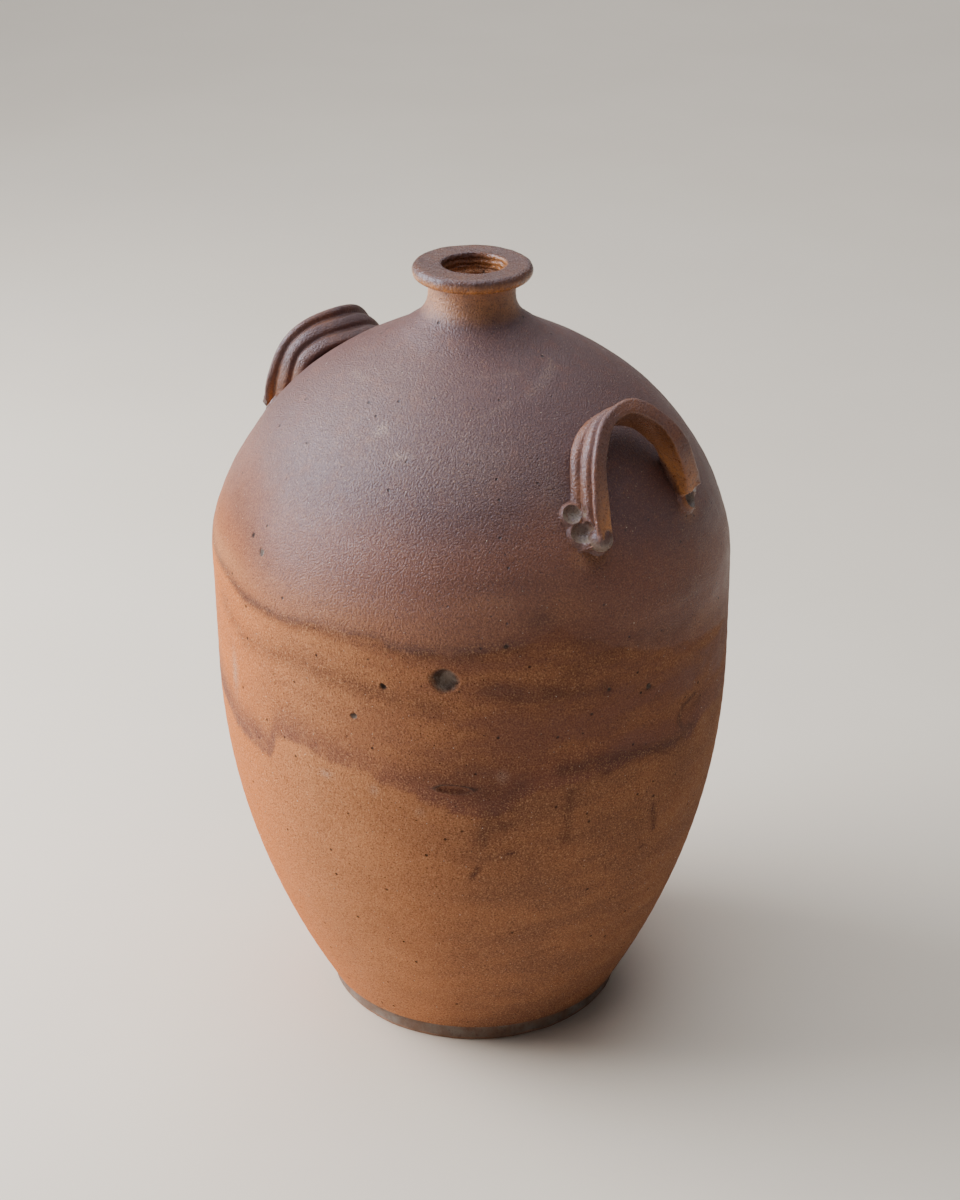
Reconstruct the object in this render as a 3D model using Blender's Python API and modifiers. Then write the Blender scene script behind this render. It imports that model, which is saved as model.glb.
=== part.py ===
"""Two-handled stoneware storage jar, built from the pieces that its potter joined.

The origin is the centre of the foot, on the surface that the jar stands on.
+Z is up, and the two strap handles sit on the shoulder towards +X and -X.
All sizes are in metres.
"""

import math

import bmesh
import bpy
from mathutils import Matrix, Vector

# Foot slab, whose side is set in under the wall
FOOT_INSET = 0.0060
FOOT_HEIGHT = 0.0155
FOOT_EDGE = 0.0030
FLOOR_RISE = 0.0040
FLOOR_BEVEL = 0.0060

# Wall of the vessel, measured on its outer side, each rise from the top of the last
WALL_BASE_RADIUS = 0.1255
WALL_BASE_EDGE = 0.0036
WALL_THICKNESS = 0.0110
BELLY_RADIUS = 0.2030
LOWER_WALL_RISE = 0.2925
BELLY_RISE_TO_JOINT = 0.0370
BELLY_RISE_ABOVE_JOINT = 0.0500
SHOULDER_RISE = 0.1710
NECK_FOOT_RADIUS = 0.0610
LOWER_SWELL_POWER = 2.05

# Neck and mouth
NECK_RISE = 0.0435
NECK_WALL = 0.0082
MOUTH_RADIUS = 0.0248
TENON_HEIGHT = 0.0030
TENON_WALL = 0.0052

# Ring round the mouth
RIM_OVERHANG = 0.0120
RIM_HEIGHT = 0.0115
RIM_DISH = 0.0006
RIM_INNER_EDGE = 0.0020
RIM_EDGE_REACH = 0.0048

# Strap handles
HANDLE_PLACE_SHARE = 0.4035
LEFT_HANDLE_DROP = 0.0026
HANDLE_REACH = 0.0580
HANDLE_SEAT_SHARE = 0.862
HANDLE_RISE = 0.0815
HANDLE_STAND = 0.0150
HANDLE_OPENING = math.radians(6.6)
LEFT_HANDLE_OPENING = math.radians(1.0)
HANDLE_TWIST = math.radians(130)
STRAP_WIDTH = 0.0272
LEFT_STRAP_EXTRA = 0.0042
STRAP_THICKNESS = 0.0117
ROOT_DROP = 0.0070
ROOT_TAPER_SHARE = 0.75
ROOT_SPREAD_SHARE = 1.10
ROOT_THICK_SHARE = 1.22

# Thumb marks that press each foot of a handle to the wall
THUMB_RADIUS = 0.0102
THUMB_DEPTH = 0.0044
THUMB_TILT = math.radians(20)
THUMB_SPIN = math.radians(8)
PAD_RADIUS = 0.0108
PAD_HEIGHT = 0.0058

# Clearances
JOINT_GAP = 0.0003
LAP_GAP = 0.0004
CUT_OVERRUN = 0.0200
WELD_DISTANCE = 0.00004

# Heights and radii that follow from the sizes above
FOOT_RADIUS = WALL_BASE_RADIUS - FOOT_INSET
BELLY_START = FOOT_HEIGHT + LOWER_WALL_RISE
BELLY_JOINT = BELLY_START + BELLY_RISE_TO_JOINT
SHOULDER_START = BELLY_JOINT + BELLY_RISE_ABOVE_JOINT
NECK_FOOT_HEIGHT = SHOULDER_START + SHOULDER_RISE
NECK_TOP = NECK_FOOT_HEIGHT + NECK_RISE
NECK_RADIUS = MOUTH_RADIUS + NECK_WALL
RIM_TOP = NECK_TOP + RIM_HEIGHT
RIM_RADIUS = NECK_RADIUS + RIM_OVERHANG
HANDLE_HEIGHT = SHOULDER_START + SHOULDER_RISE * HANDLE_PLACE_SHARE
HANDLE_HALF_SPAN = HANDLE_REACH * HANDLE_SEAT_SHARE

# Counts
TURN_STEPS = 48
LOWER_ROWS = 9
STRAP_SPAN_STEPS = 2
ROOT_STEPS = 3
EDGE_STEPS = 5
PAD_SIDES = 14
PAD_RINGS = 8

SHARP_ANGLE = math.radians(40)

# Shoulder outline: share of its rise, share of the step from the neck foot to the belly
SHOULDER_SHARES = (
    (0.00, 1.000),
    (0.09, 0.990),
    (0.19, 0.957),
    (0.33, 0.890),
    (0.46, 0.799),
    (0.60, 0.677),
    (0.74, 0.510),
    (0.88, 0.273),
    (1.00, 0.000),
)

# Neck outline: share of its rise, share of the step from the neck to its foot
NECK_SHARES = (
    (0.00, 1.000),
    (0.16, 0.620),
    (0.34, 0.255),
    (0.52, 0.065),
    (0.72, 0.000),
    (1.00, 0.020),
)

# Strap section: share of the width, share of the thickness, round from the outer edge
STRAP_SHARES = (
    (0.50, 0.00),
    (0.49, 0.36),
    (0.43, 0.50),
    (0.34, 0.44),
    (0.26, 0.27),
    (0.18, 0.42),
    (0.06, 0.48),
    (-0.06, 0.42),
    (-0.13, 0.27),
    (-0.21, 0.43),
    (-0.33, 0.50),
    (-0.45, 0.44),
    (-0.50, 0.15),
    (-0.49, -0.28),
    (-0.40, -0.47),
    (-0.10, -0.50),
    (0.25, -0.50),
    (0.44, -0.47),
    (0.49, -0.32),
)

# Centre line of the right strap: shares of its reach, its rise, its stand away from the wall
# and its twist, which turns its width from straight down at none to straight up
STRAP_PATH_SHARES = (
    (-1.01, 0.04, 0.10, 0.33),
    (-0.82, 0.45, 0.12, 0.45),
    (-0.60, 0.78, 0.16, 0.67),
    (-0.30, 0.98, 0.24, 0.91),
    (0.12, 1.00, 0.37, 1.00),
    (0.44, 0.85, 0.66, 0.82),
    (0.64, 0.62, 0.88, 0.56),
    (0.80, 0.36, 0.40, 0.38),
    (0.86, 0.18, -0.02, 0.31),
)

# Left strap, whose arch stays full down to its foot at the front
LEFT_STRAP_PATH_SHARES = (
    (-1.01, 0.04, 0.10, 0.33),
    (-0.82, 0.45, 0.12, 0.45),
    (-0.60, 0.80, 0.16, 0.67),
    (-0.30, 1.01, 0.24, 0.91),
    (0.12, 1.05, 0.36, 1.00),
    (0.50, 0.96, 0.60, 0.84),
    (0.73, 0.75, 0.70, 0.62),
    (0.80, 0.45, 0.40, 0.44),
    (0.77, 0.16, 0.00, 0.34),
)

# Thumb marks beside a foot: shares of the pad radius, away from the arch and up the wall
THUMB_SHARES = (
    (0.62, 2.10),
    (0.52, 0.85),
    (-0.72, -0.10),
)

BARE_CLAY = ((0.42, 0.19, 0.075, 1.0), 0.82)
FOOT_CLAY = ((0.16, 0.105, 0.075, 1.0), 0.88)
SALT_BROWN = ((0.105, 0.058, 0.050, 1.0), 0.46)
NECK_BROWN = ((0.21, 0.095, 0.050, 1.0), 0.55)
HANDLE_BROWN = ((0.15, 0.072, 0.052, 1.0), 0.48)


def clear_scene():
    for obj in list(bpy.data.objects):
        bpy.data.objects.remove(obj, do_unlink=True)


def new_collection(name, parent):
    collection = bpy.data.collections.new(name)
    parent.children.link(collection)
    return collection


def clay_material(name, finish):
    colour, roughness = finish
    material = bpy.data.materials.new(name)
    material.use_nodes = True
    shader = material.node_tree.nodes["Principled BSDF"]
    shader.inputs["Base Color"].default_value = colour
    shader.inputs["Roughness"].default_value = roughness
    shader.inputs["Metallic"].default_value = 0.0
    material.diffuse_color = colour
    return material


def smooth_path(points, steps):
    """Catmull-Rom curve through the points, with this many steps to a span."""
    first = points[0] * 2 - points[1]
    last = points[-1] * 2 - points[-2]
    guide = [first] + list(points) + [last]
    path = []
    for index in range(1, len(guide) - 2):
        before, start, end, after = guide[index - 1:index + 3]
        for step in range(steps):
            share = step / steps
            path.append(0.5 * (
                start * 2
                + (end - before) * share
                + (before * 2 - start * 5 + end * 4 - after) * share ** 2
                + (start * 3 - before - end * 3 + after) * share ** 3
            ))
    path.append(points[-1].copy())
    return path


def wall_outline():
    """Outer side of the whole wall, from the foot up, as (radius, height) points.

    Returns the lower section, the upper section and the neck, whose ends meet.
    """
    base = FOOT_HEIGHT + JOINT_GAP
    lower = [Vector((WALL_BASE_RADIUS - WALL_BASE_EDGE, base))]
    for row in range(LOWER_ROWS):
        rise = row / LOWER_ROWS
        swell = 1 - (1 - rise) ** LOWER_SWELL_POWER
        radius = WALL_BASE_RADIUS + (BELLY_RADIUS - WALL_BASE_RADIUS) * swell
        start = base + WALL_BASE_EDGE
        lower.append(Vector((radius, start + (BELLY_START - start) * rise)))
    lower.append(Vector((BELLY_RADIUS, BELLY_START)))
    lower.append(Vector((BELLY_RADIUS, BELLY_JOINT)))

    shoulder_rise = NECK_FOOT_HEIGHT - SHOULDER_START
    shoulder_reach = BELLY_RADIUS - NECK_FOOT_RADIUS
    shoulder = [
        Vector((NECK_FOOT_RADIUS + shoulder_reach * out, SHOULDER_START + shoulder_rise * up))
        for up, out in SHOULDER_SHARES
    ]
    neck_rise = NECK_TOP - NECK_FOOT_HEIGHT
    neck_reach = NECK_FOOT_RADIUS - NECK_RADIUS
    neck = [
        Vector((NECK_RADIUS + neck_reach * out, NECK_FOOT_HEIGHT + neck_rise * up))
        for up, out in NECK_SHARES
    ]
    whole = smooth_path(shoulder[:-1] + neck, 2)
    joint = 2 * len(SHOULDER_SHARES)
    upper = [Vector((BELLY_RADIUS, BELLY_JOINT))] + whole[:joint + 1]
    return lower, upper, whole[joint:]


def inner_side(outline, thickness, neck_thickness):
    """The outline moved inwards, by a wall that thins where it climbs to the neck."""
    side = [Vector((WALL_BASE_RADIUS - thickness, outline[0].y))]
    last = len(outline) - 1
    for index, point in list(enumerate(outline))[1:]:
        along = outline[min(index + 1, last)] - outline[max(index - 1, 0)]
        inwards = Vector((-along.y, along.x)).normalized()
        climb = max(0.0, (BELLY_RADIUS - point.x) / (BELLY_RADIUS - NECK_RADIUS))
        if point.y < SHOULDER_START:
            climb = 0.0
        depth = thickness + (neck_thickness - thickness) * climb
        side.append(point + inwards * depth)
    return side


def wall_radius(outline, height):
    """Radius of the outer wall at a height."""
    for low, high in zip(outline, outline[1:]):
        if low.y <= height <= high.y:
            share = (height - low.y) / (high.y - low.y)
            return low.x + (high.x - low.x) * share
    return outline[-1].x


def wall_slope(outline, height):
    """Angle of the wall's outward normal above the horizontal at a height."""
    reach = STRAP_THICKNESS
    step = wall_radius(outline, height + reach) - wall_radius(outline, height - reach)
    return math.atan2(-step, 2 * reach)


def turned_piece(name, loop, material, collection, closed=True):
    """Solid of revolution from a loop that runs down its outer side."""
    mesh = bpy.data.meshes.new(name)
    edges = [(index, index + 1) for index in range(len(loop) - 1)]
    if closed:
        edges.append((len(loop) - 1, 0))
    mesh.from_pydata([(point.x, 0.0, point.y) for point in loop], edges, [])
    obj = bpy.data.objects.new(name, mesh)
    collection.objects.link(obj)
    screw = obj.modifiers.new("Turn", "SCREW")
    screw.axis = "Z"
    screw.steps = TURN_STEPS
    screw.render_steps = TURN_STEPS
    screw.use_merge_vertices = True
    screw.merge_threshold = 0.00001
    screw.use_smooth_shade = True
    settle(obj)
    obj.data.materials.append(material)
    return obj


def settle(obj):
    """Replaces the object's mesh and modifiers by the mesh that they make."""
    graph = bpy.context.evaluated_depsgraph_get()
    mesh = bpy.data.meshes.new_from_object(obj.evaluated_get(graph))
    obj.modifiers.clear()
    obj.data = mesh
    mesh.name = obj.name
    mesh.shade_smooth()
    mesh.set_sharp_from_angle(angle=SHARP_ANGLE)


def weld_slivers(mesh):
    """Closes up the hairline faces that a Boolean can leave."""
    work = bmesh.new()
    work.from_mesh(mesh)
    bmesh.ops.triangulate(work, faces=work.faces)
    bmesh.ops.remove_doubles(work, verts=work.verts, dist=WELD_DISTANCE)
    bmesh.ops.dissolve_degenerate(work, edges=work.edges, dist=WELD_DISTANCE)
    work.to_mesh(mesh)
    work.free()


def foot_disc(material, collection):
    """Slab that the jar stands on, with the floor of the jar as a low step on it."""
    wall_inner = WALL_BASE_RADIUS - WALL_THICKNESS - JOINT_GAP
    loop = [
        Vector((0.0, FOOT_HEIGHT + FLOOR_RISE)),
        Vector((wall_inner - FLOOR_BEVEL, FOOT_HEIGHT + FLOOR_RISE)),
        Vector((wall_inner - FLOOR_BEVEL / 2, FOOT_HEIGHT)),
        Vector((FOOT_RADIUS - FOOT_EDGE, FOOT_HEIGHT)),
    ]
    loop += arc_points(
        Vector((FOOT_RADIUS - FOOT_EDGE, FOOT_HEIGHT - FOOT_EDGE)), FOOT_EDGE, FOOT_EDGE, 90, 0, 3
    )
    loop += arc_points(
        Vector((FOOT_RADIUS - FOOT_EDGE, FOOT_EDGE)), FOOT_EDGE, FOOT_EDGE, 0, -90, 3
    )
    loop.append(Vector((0.0, 0.0)))
    return turned_piece("foot_disc", loop, material, collection, closed=False)


def arc_points(centre, reach, rise, start, end, steps):
    """Points of an elliptical arc after its first, with the angles in degrees."""
    points = []
    for step in range(1, steps + 1):
        angle = math.radians(start + (end - start) * step / steps)
        points.append(centre + Vector((reach * math.cos(angle), rise * math.sin(angle))))
    return points


def thinned(points):
    """Every second point of the inner side, which is plainer than the outer one."""
    return [point.copy() for point in points[:-1:2]] + [points[-1].copy()]


def wall_section(name, outer, inner, lift, material, collection):
    """Ring of wall whose lower edge stands clear of the piece under it by lift."""
    outer = [point.copy() for point in outer]
    inner = thinned(inner)
    outer[0] += (outer[1] - outer[0]).normalized() * lift
    inner[0] += (inner[1] - inner[0]).normalized() * lift
    loop = list(reversed(outer)) + inner
    return turned_piece(name, loop, material, collection)


def neck_piece(outer, inner, material, collection):
    """Neck that ends in a tenon, which the mouth ring drops over."""
    outer = [point.copy() for point in outer]
    inner = thinned(inner)
    outer[0] += (outer[1] - outer[0]).normalized() * LAP_GAP
    inner[0] += (inner[1] - inner[0]).normalized() * LAP_GAP
    tenon_radius = MOUTH_RADIUS + TENON_WALL
    tenon = [
        Vector((MOUTH_RADIUS, NECK_TOP + TENON_HEIGHT)),
        Vector((tenon_radius, NECK_TOP + TENON_HEIGHT)),
        Vector((tenon_radius, NECK_TOP)),
    ]
    loop = tenon + list(reversed(outer)) + inner
    return turned_piece("neck", loop, material, collection)


def mouth_rim(material, collection):
    """Flat ring round the mouth, with a full round outer edge and a dished top."""
    seat = NECK_TOP + JOINT_GAP
    socket_radius = MOUTH_RADIUS + TENON_WALL + JOINT_GAP
    socket_top = NECK_TOP + TENON_HEIGHT + JOINT_GAP
    edge_rise = (RIM_TOP - seat) / 2
    edge_centre = Vector((RIM_RADIUS - RIM_EDGE_REACH, seat + edge_rise))
    loop = [
        Vector((MOUTH_RADIUS + RIM_INNER_EDGE, RIM_TOP - RIM_DISH)),
        edge_centre + Vector((0.0, edge_rise)),
    ]
    loop += arc_points(edge_centre, RIM_EDGE_REACH, edge_rise, 90, -90, 2 * EDGE_STEPS)
    loop += [
        Vector((socket_radius, seat)),
        Vector((socket_radius, socket_top)),
        Vector((MOUTH_RADIUS, socket_top)),
    ]
    inner_centre = Vector((MOUTH_RADIUS + RIM_INNER_EDGE, RIM_TOP - RIM_DISH - RIM_INNER_EDGE))
    loop.append(inner_centre - Vector((RIM_INNER_EDGE, 0.0)))
    loop += arc_points(inner_centre, RIM_INNER_EDGE, RIM_INNER_EDGE, 180, 90, 3)[:-1]
    return turned_piece("mouth_rim", loop, material, collection)


def handle_frame(outline, height, opening):
    """Seat of a handle, the way its arch rises, and the way its arch faces.

    The arch leans back over the wall, opened from it by the given angle.
    """
    radius = wall_radius(outline, height)
    lean = math.pi / 2 + wall_slope(outline, height) - opening
    seat = Vector((math.sqrt(radius ** 2 - HANDLE_HALF_SPAN ** 2), 0.0, height))
    rise = Vector((math.cos(lean), 0.0, math.sin(lean)))
    face = Vector((math.sin(lean), 0.0, -math.cos(lean)))
    return seat, rise, face


def strap_stations(outline, height, opening, extra, shares):
    """Stations along the strap: centre, direction, width direction and section sizes.

    The extra width lies on the side of the strap that faces the wall. Past each end
    of the arch the strap runs on for a short root, whose outer edge slopes down to
    the wall.
    """
    seat, rise, face = handle_frame(outline, height, opening)
    along = Vector((0.0, 1.0, 0.0))
    path = smooth_path([Vector(row) for row in shares], STRAP_SPAN_STEPS)
    places = []
    for side, up, out, _ in path:
        sideways = along * HANDLE_REACH * side
        places.append(seat + sideways + rise * HANDLE_RISE * up + face * HANDLE_STAND * out)
    arch = []
    last = len(path) - 1
    for index, place in enumerate(places):
        tangent = (places[min(index + 1, last)] - places[max(index - 1, 0)]).normalized()
        side, up, _, twist_share = path[index]
        turn = HANDLE_REACH * side / wall_radius(outline, height)
        twist = HANDLE_TWIST * twist_share
        width = Vector((
            math.sin(twist) * math.cos(turn),
            math.sin(twist) * math.sin(turn),
            -math.cos(twist),
        ))
        width = (width - tangent * width.dot(tangent)).normalized()
        spread = STRAP_WIDTH * (1 + (ROOT_SPREAD_SHARE - 1) * max(1 - up * 2, 0))
        swell = STRAP_THICKNESS * (1 + (ROOT_THICK_SHARE - 1) * max(1 - up, 0))
        widening = extra * min(max(up, 0) * 2, 1)
        place = place - width * widening / 2
        arch.append((place, tangent, width, spread + widening, swell))
    return strap_root(arch[0], -1) + arch + strap_root(arch[-1], 1)


def strap_root(end, way):
    """Stations that carry the strap on past an end, backwards or forwards."""
    place, tangent, width, spread, swell = end
    root = []
    for step in range(1, ROOT_STEPS + 1):
        below = step / ROOT_STEPS
        taper = ROOT_TAPER_SHARE * below ** 2
        centre = place + tangent * way * ROOT_DROP * below
        centre -= width * spread * taper / 2
        root.append((centre, tangent, width, spread * (1 - taper), swell))
    return root[::way]


def strap_mesh(outline, height, opening, extra, shares):
    """Ridged strap lofted along its stations."""
    mesh = bmesh.new()
    rings = []
    stations = strap_stations(outline, height, opening, extra, shares)
    for centre, tangent, width, spread, swell in stations:
        across_way = width * spread
        through_way = width.cross(tangent) * swell
        ring = [mesh.verts.new(centre + across_way * across + through_way * through)
                for across, through in STRAP_SHARES]
        rings.append(ring)
    count = len(STRAP_SHARES)
    for low, high in zip(rings, rings[1:]):
        for index in range(count):
            following = (index + 1) % count
            mesh.faces.new((low[index], low[following], high[following], high[index]))
    mesh.faces.new(list(reversed(rings[0])))
    mesh.faces.new(rings[-1])
    bmesh.ops.recalc_face_normals(mesh, faces=mesh.faces)
    return mesh


def mesh_object(name, mesh, collection):
    data = bpy.data.meshes.new(name)
    mesh.to_mesh(data)
    mesh.free()
    obj = bpy.data.objects.new(name, data)
    collection.objects.link(obj)
    return obj


def thumb_places(outline, handle_height):
    """Centre, outward normal and pressing direction of every mark round both feet."""
    places = []
    for side in (-1, 1):
        foot_angle = side * math.asin(HANDLE_REACH / wall_radius(outline, handle_height))
        for away, up in THUMB_SHARES:
            height = handle_height + PAD_RADIUS * up
            radius = wall_radius(outline, height)
            angle = foot_angle + side * PAD_RADIUS * away / radius
            slope = wall_slope(outline, height)
            point = Vector((radius * math.cos(angle), radius * math.sin(angle), height))
            normal = Vector((
                math.cos(slope) * math.cos(angle),
                math.cos(slope) * math.sin(angle),
                math.sin(slope),
            ))
            sideways = Vector((-math.sin(angle), math.cos(angle), 0.0)) * side
            press = (normal + sideways * math.tan(THUMB_TILT)).normalized()
            places.append((point, normal, press))
    return places


def ball_object(name, centre, axis, radius, rise, collection):
    """Flattened ball with its short axis along the given direction."""
    mesh = bmesh.new()
    bmesh.ops.create_uvsphere(mesh, u_segments=PAD_SIDES, v_segments=PAD_RINGS, radius=1.0)
    turn = Vector((0.0, 0.0, 1.0)).rotation_difference(axis).to_matrix().to_4x4()
    turn = turn @ Matrix.Rotation(THUMB_SPIN, 4, "Z")
    size = Matrix.Diagonal((radius, radius, rise, 1.0))
    bmesh.ops.transform(mesh, matrix=Matrix.Translation(centre) @ turn @ size, verts=mesh.verts)
    return mesh_object(name, mesh, collection)


def hide_cutter(obj):
    obj.hide_render = True
    obj.display_type = "WIRE"


def add_boolean(obj, operation, others):
    """One Boolean with every object of a collection."""
    modifier = obj.modifiers.new(operation.title(), "BOOLEAN")
    modifier.operation = operation
    modifier.operand_type = "COLLECTION"
    modifier.collection = others
    modifier.solver = "EXACT"


def wall_cutter(outline, collection):
    """Solid as large as the wall and its clearance, from under the handles to above them."""
    low = HANDLE_HEIGHT - HANDLE_RISE / 2
    high = NECK_FOOT_HEIGHT
    side = []
    last = len(outline) - 1
    for index, point in enumerate(outline):
        if low <= point.y <= high:
            along = outline[min(index + 1, last)] - outline[max(index - 1, 0)]
            outwards = Vector((along.y, -along.x)).normalized()
            side.append(point + outwards * JOINT_GAP)
    loop = [Vector((0.0, side[-1].y + CUT_OVERRUN))] + list(reversed(side))
    loop.append(Vector((0.0, side[0].y)))
    cutter = turned_piece("wall_cutter", loop, None, collection, closed=False)
    hide_cutter(cutter)
    return cutter


def strap_handle(name, strap, outline, height, cutter, material, parts, cutters):
    """Ridged strap with thumb-pressed feet, hollowed to sit on the shoulder."""
    handle = mesh_object(name, strap, parts)
    pads = new_collection(f"{name}_pads", cutters)
    hollows = new_collection(f"{name}_hollows", cutters)
    hollows.objects.link(cutter)
    for number, (point, normal, press) in enumerate(thumb_places(outline, height)):
        hide_cutter(ball_object(f"{name}_pad_{number}", point, normal, PAD_RADIUS, PAD_HEIGHT, pads))
        thumb = point + normal * PAD_HEIGHT + press * (THUMB_RADIUS - THUMB_DEPTH)
        hide_cutter(
            ball_object(f"{name}_thumb_{number}", thumb, press, THUMB_RADIUS, THUMB_RADIUS, hollows)
        )
    add_boolean(handle, "UNION", pads)
    add_boolean(handle, "DIFFERENCE", hollows)
    settle(handle)
    weld_slivers(handle.data)
    handle.data.materials.clear()
    handle.data.materials.append(material)
    return handle


def build_jar():
    clear_scene()
    scene = bpy.context.scene.collection
    parts = new_collection("stoneware_jar", scene)
    cutters = new_collection("cutters", scene)
    bare = clay_material("bare_clay", BARE_CLAY)
    foot = clay_material("foot_clay", FOOT_CLAY)
    brown = clay_material("salt_brown", SALT_BROWN)
    neck_brown = clay_material("neck_brown", NECK_BROWN)
    handle_brown = clay_material("handle_brown", HANDLE_BROWN)

    lower, upper, neck = wall_outline()
    whole = lower + upper[1:] + neck[1:]
    inside = inner_side(whole, WALL_THICKNESS, NECK_RADIUS - MOUTH_RADIUS)
    lower_end = len(lower) - 1
    neck_start = lower_end + len(upper) - 1

    foot_disc(foot, parts)
    wall_section(
        "lower_body", lower, inside[:lower_end + 2], 0.0, bare, parts
    )
    wall_section(
        "shoulder", upper, inside[lower_end + 1:neck_start + 2], LAP_GAP, brown, parts
    )
    neck_piece(neck, inside[neck_start + 1:], neck_brown, parts)
    mouth_rim(brown, parts)
    cutter = wall_cutter(whole, cutters)
    right_strap = strap_mesh(whole, HANDLE_HEIGHT, HANDLE_OPENING, 0.0, STRAP_PATH_SHARES)
    strap_handle(
        "handle_right", right_strap, whole, HANDLE_HEIGHT, cutter, handle_brown, parts, cutters
    )
    left_height = HANDLE_HEIGHT - LEFT_HANDLE_DROP
    left_strap = strap_mesh(
        whole, left_height, LEFT_HANDLE_OPENING, LEFT_STRAP_EXTRA, LEFT_STRAP_PATH_SHARES
    )
    left = strap_handle(
        "handle_left", left_strap, whole, left_height, cutter, handle_brown, parts, cutters
    )
    left.data.transform(Matrix.Rotation(math.pi, 4, "Z"))


build_jar()
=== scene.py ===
"""Looks of the two-handled stoneware jar: thrown wall, mouth ring, pulled handles and glaze.

Every piece stands in the place of the solid that it shows, in metres, with +Z up.
The jar is seen from FRONT_ANGLE, and angles on the jar are counted from there.
"""

import math

import bmesh
import bpy
import numpy as np
from mathutils import Matrix, Vector


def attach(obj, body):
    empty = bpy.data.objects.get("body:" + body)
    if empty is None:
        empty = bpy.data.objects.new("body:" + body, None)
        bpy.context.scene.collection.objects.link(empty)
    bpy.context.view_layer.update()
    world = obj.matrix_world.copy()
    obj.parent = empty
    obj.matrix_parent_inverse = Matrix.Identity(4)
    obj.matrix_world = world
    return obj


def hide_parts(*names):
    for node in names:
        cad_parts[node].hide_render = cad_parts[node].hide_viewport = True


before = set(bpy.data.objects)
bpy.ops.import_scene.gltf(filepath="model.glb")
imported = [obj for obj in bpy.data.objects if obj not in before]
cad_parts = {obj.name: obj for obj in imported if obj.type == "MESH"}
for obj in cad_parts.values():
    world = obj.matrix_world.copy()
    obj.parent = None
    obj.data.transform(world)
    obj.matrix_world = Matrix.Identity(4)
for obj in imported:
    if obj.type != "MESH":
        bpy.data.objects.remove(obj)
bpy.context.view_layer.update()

# Where the jar is looked at from, as an angle round its axis
FRONT_ANGLE = math.radians(-46)

# Foot slab, whose side is set in under the wall
FOOT_INSET = 0.0060
FOOT_HEIGHT = 0.0155
FOOT_EDGE = 0.0022
FOOT_HOLLOW = 0.0008
FOOT_ROUGHNESS_DEPTH = 0.0007
FOOT_LUMP = 0.016
FOOT_PATCH = 0.018
FOOT_GRAIN = 0.0030
FOOT_PATCH_DEPTH = 0.0010
FOOT_GRAIN_DEPTH = 0.0006
FOOT_ORANGE_TOP = 0.0036
FOOT_ORANGE_FULL = 0.0018
FOOT_ORANGE_RAGGED = 0.006

# Wall of the vessel, measured on its outer side, each rise from the top of the last
WALL_BASE_RADIUS = 0.1255
WALL_BASE_EDGE = 0.0030
WALL_THICKNESS = 0.0110
BELLY_RADIUS = 0.2024
LOWER_WALL_RISE = 0.2925
BELLY_RISE_TO_JOINT = 0.0370
BELLY_RISE_ABOVE_JOINT = 0.0500
SHOULDER_RISE = 0.1710
NECK_FOOT_RADIUS = 0.0610
LOWER_SWELL_POWER = 2.05

# Neck and mouth
NECK_RISE = 0.0435
NECK_WALL = 0.0088
MOUTH_RADIUS = 0.0242
RIM_OVERHANG = 0.0122
RIM_HEIGHT = 0.0111
RIM_DISH = 0.0005
RIM_INNER_EDGE = 0.0015
RIM_EDGE_REACH = 0.0046
RIM_WOBBLE = 0.0013
RIM_RIPPLE = 0.0009
BORE_OFFSET = 0.0013

# Marks of the wheel
SWAY = 0.0032
WOBBLE = 0.0005
WALL_LUMP = 0.070
RIM_LUMP = 0.012
WHEEL_RING_PITCH = 0.0135
WHEEL_RING_DEPTH = 0.00008
BORE_RING_PITCH = 0.0044
BORE_RING_DEPTH = 0.00036

# Strap handles
HANDLE_PLACE_SHARE = 0.4035
LEFT_HANDLE_DROP = 0.0026
HANDLE_REACH = 0.0580
HANDLE_SEAT_SHARE = 0.862
HANDLE_RISE = 0.0815
HANDLE_STAND = 0.0150
HANDLE_OPENING = math.radians(6.6)
LEFT_HANDLE_OPENING = math.radians(1.0)
HANDLE_TWIST = math.radians(130)
STRAP_WIDTH = 0.0268
LEFT_STRAP_EXTRA = 0.0066
STRAP_THICKNESS = 0.0118
STRAP_UNEVEN_SHARE = 0.07
ROOT_DROP = 0.0080
ROOT_TAPER_SHARE = 0.80
ROOT_SPREAD_SHARE = 1.06
ROOT_THICK_SHARE = 1.30
CLAY_VOXEL = 0.00076
SEAT_REACH = 0.030
SEAT_SINK = 0.0007
SEAT_DIP = 0.0030
SEAT_DEPTH = 0.0050
FILLET_REACH = 0.0150

# Thumb marks that press each foot of a handle to the wall
THUMB_RADIUS = 0.0088
THUMB_SINK = -0.0009
THUMB_TILT = math.radians(14)
THUMB_LIP = 0.0007
PAD_RADIUS = 0.0104
PAD_HEIGHT = 0.0046

# Blemishes of the fired wall
CHIP_SIZE = 0.0096
CHIP_DEPTH = 0.0036
PIT_SIZE = 0.0022
PIT_DEPTH = 0.0011
SCAR_SIZE = 0.0150
SCAR_DEPTH = 0.0016
GRAIN_SIZE = 0.00050
GRAIN_TONE = 0.008
GRAIN_TOP_REACH = 0.010
PALE_GRAINS_PER_AREA = 900.0
IRON_GRAINS_PER_AREA = 700.0

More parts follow.
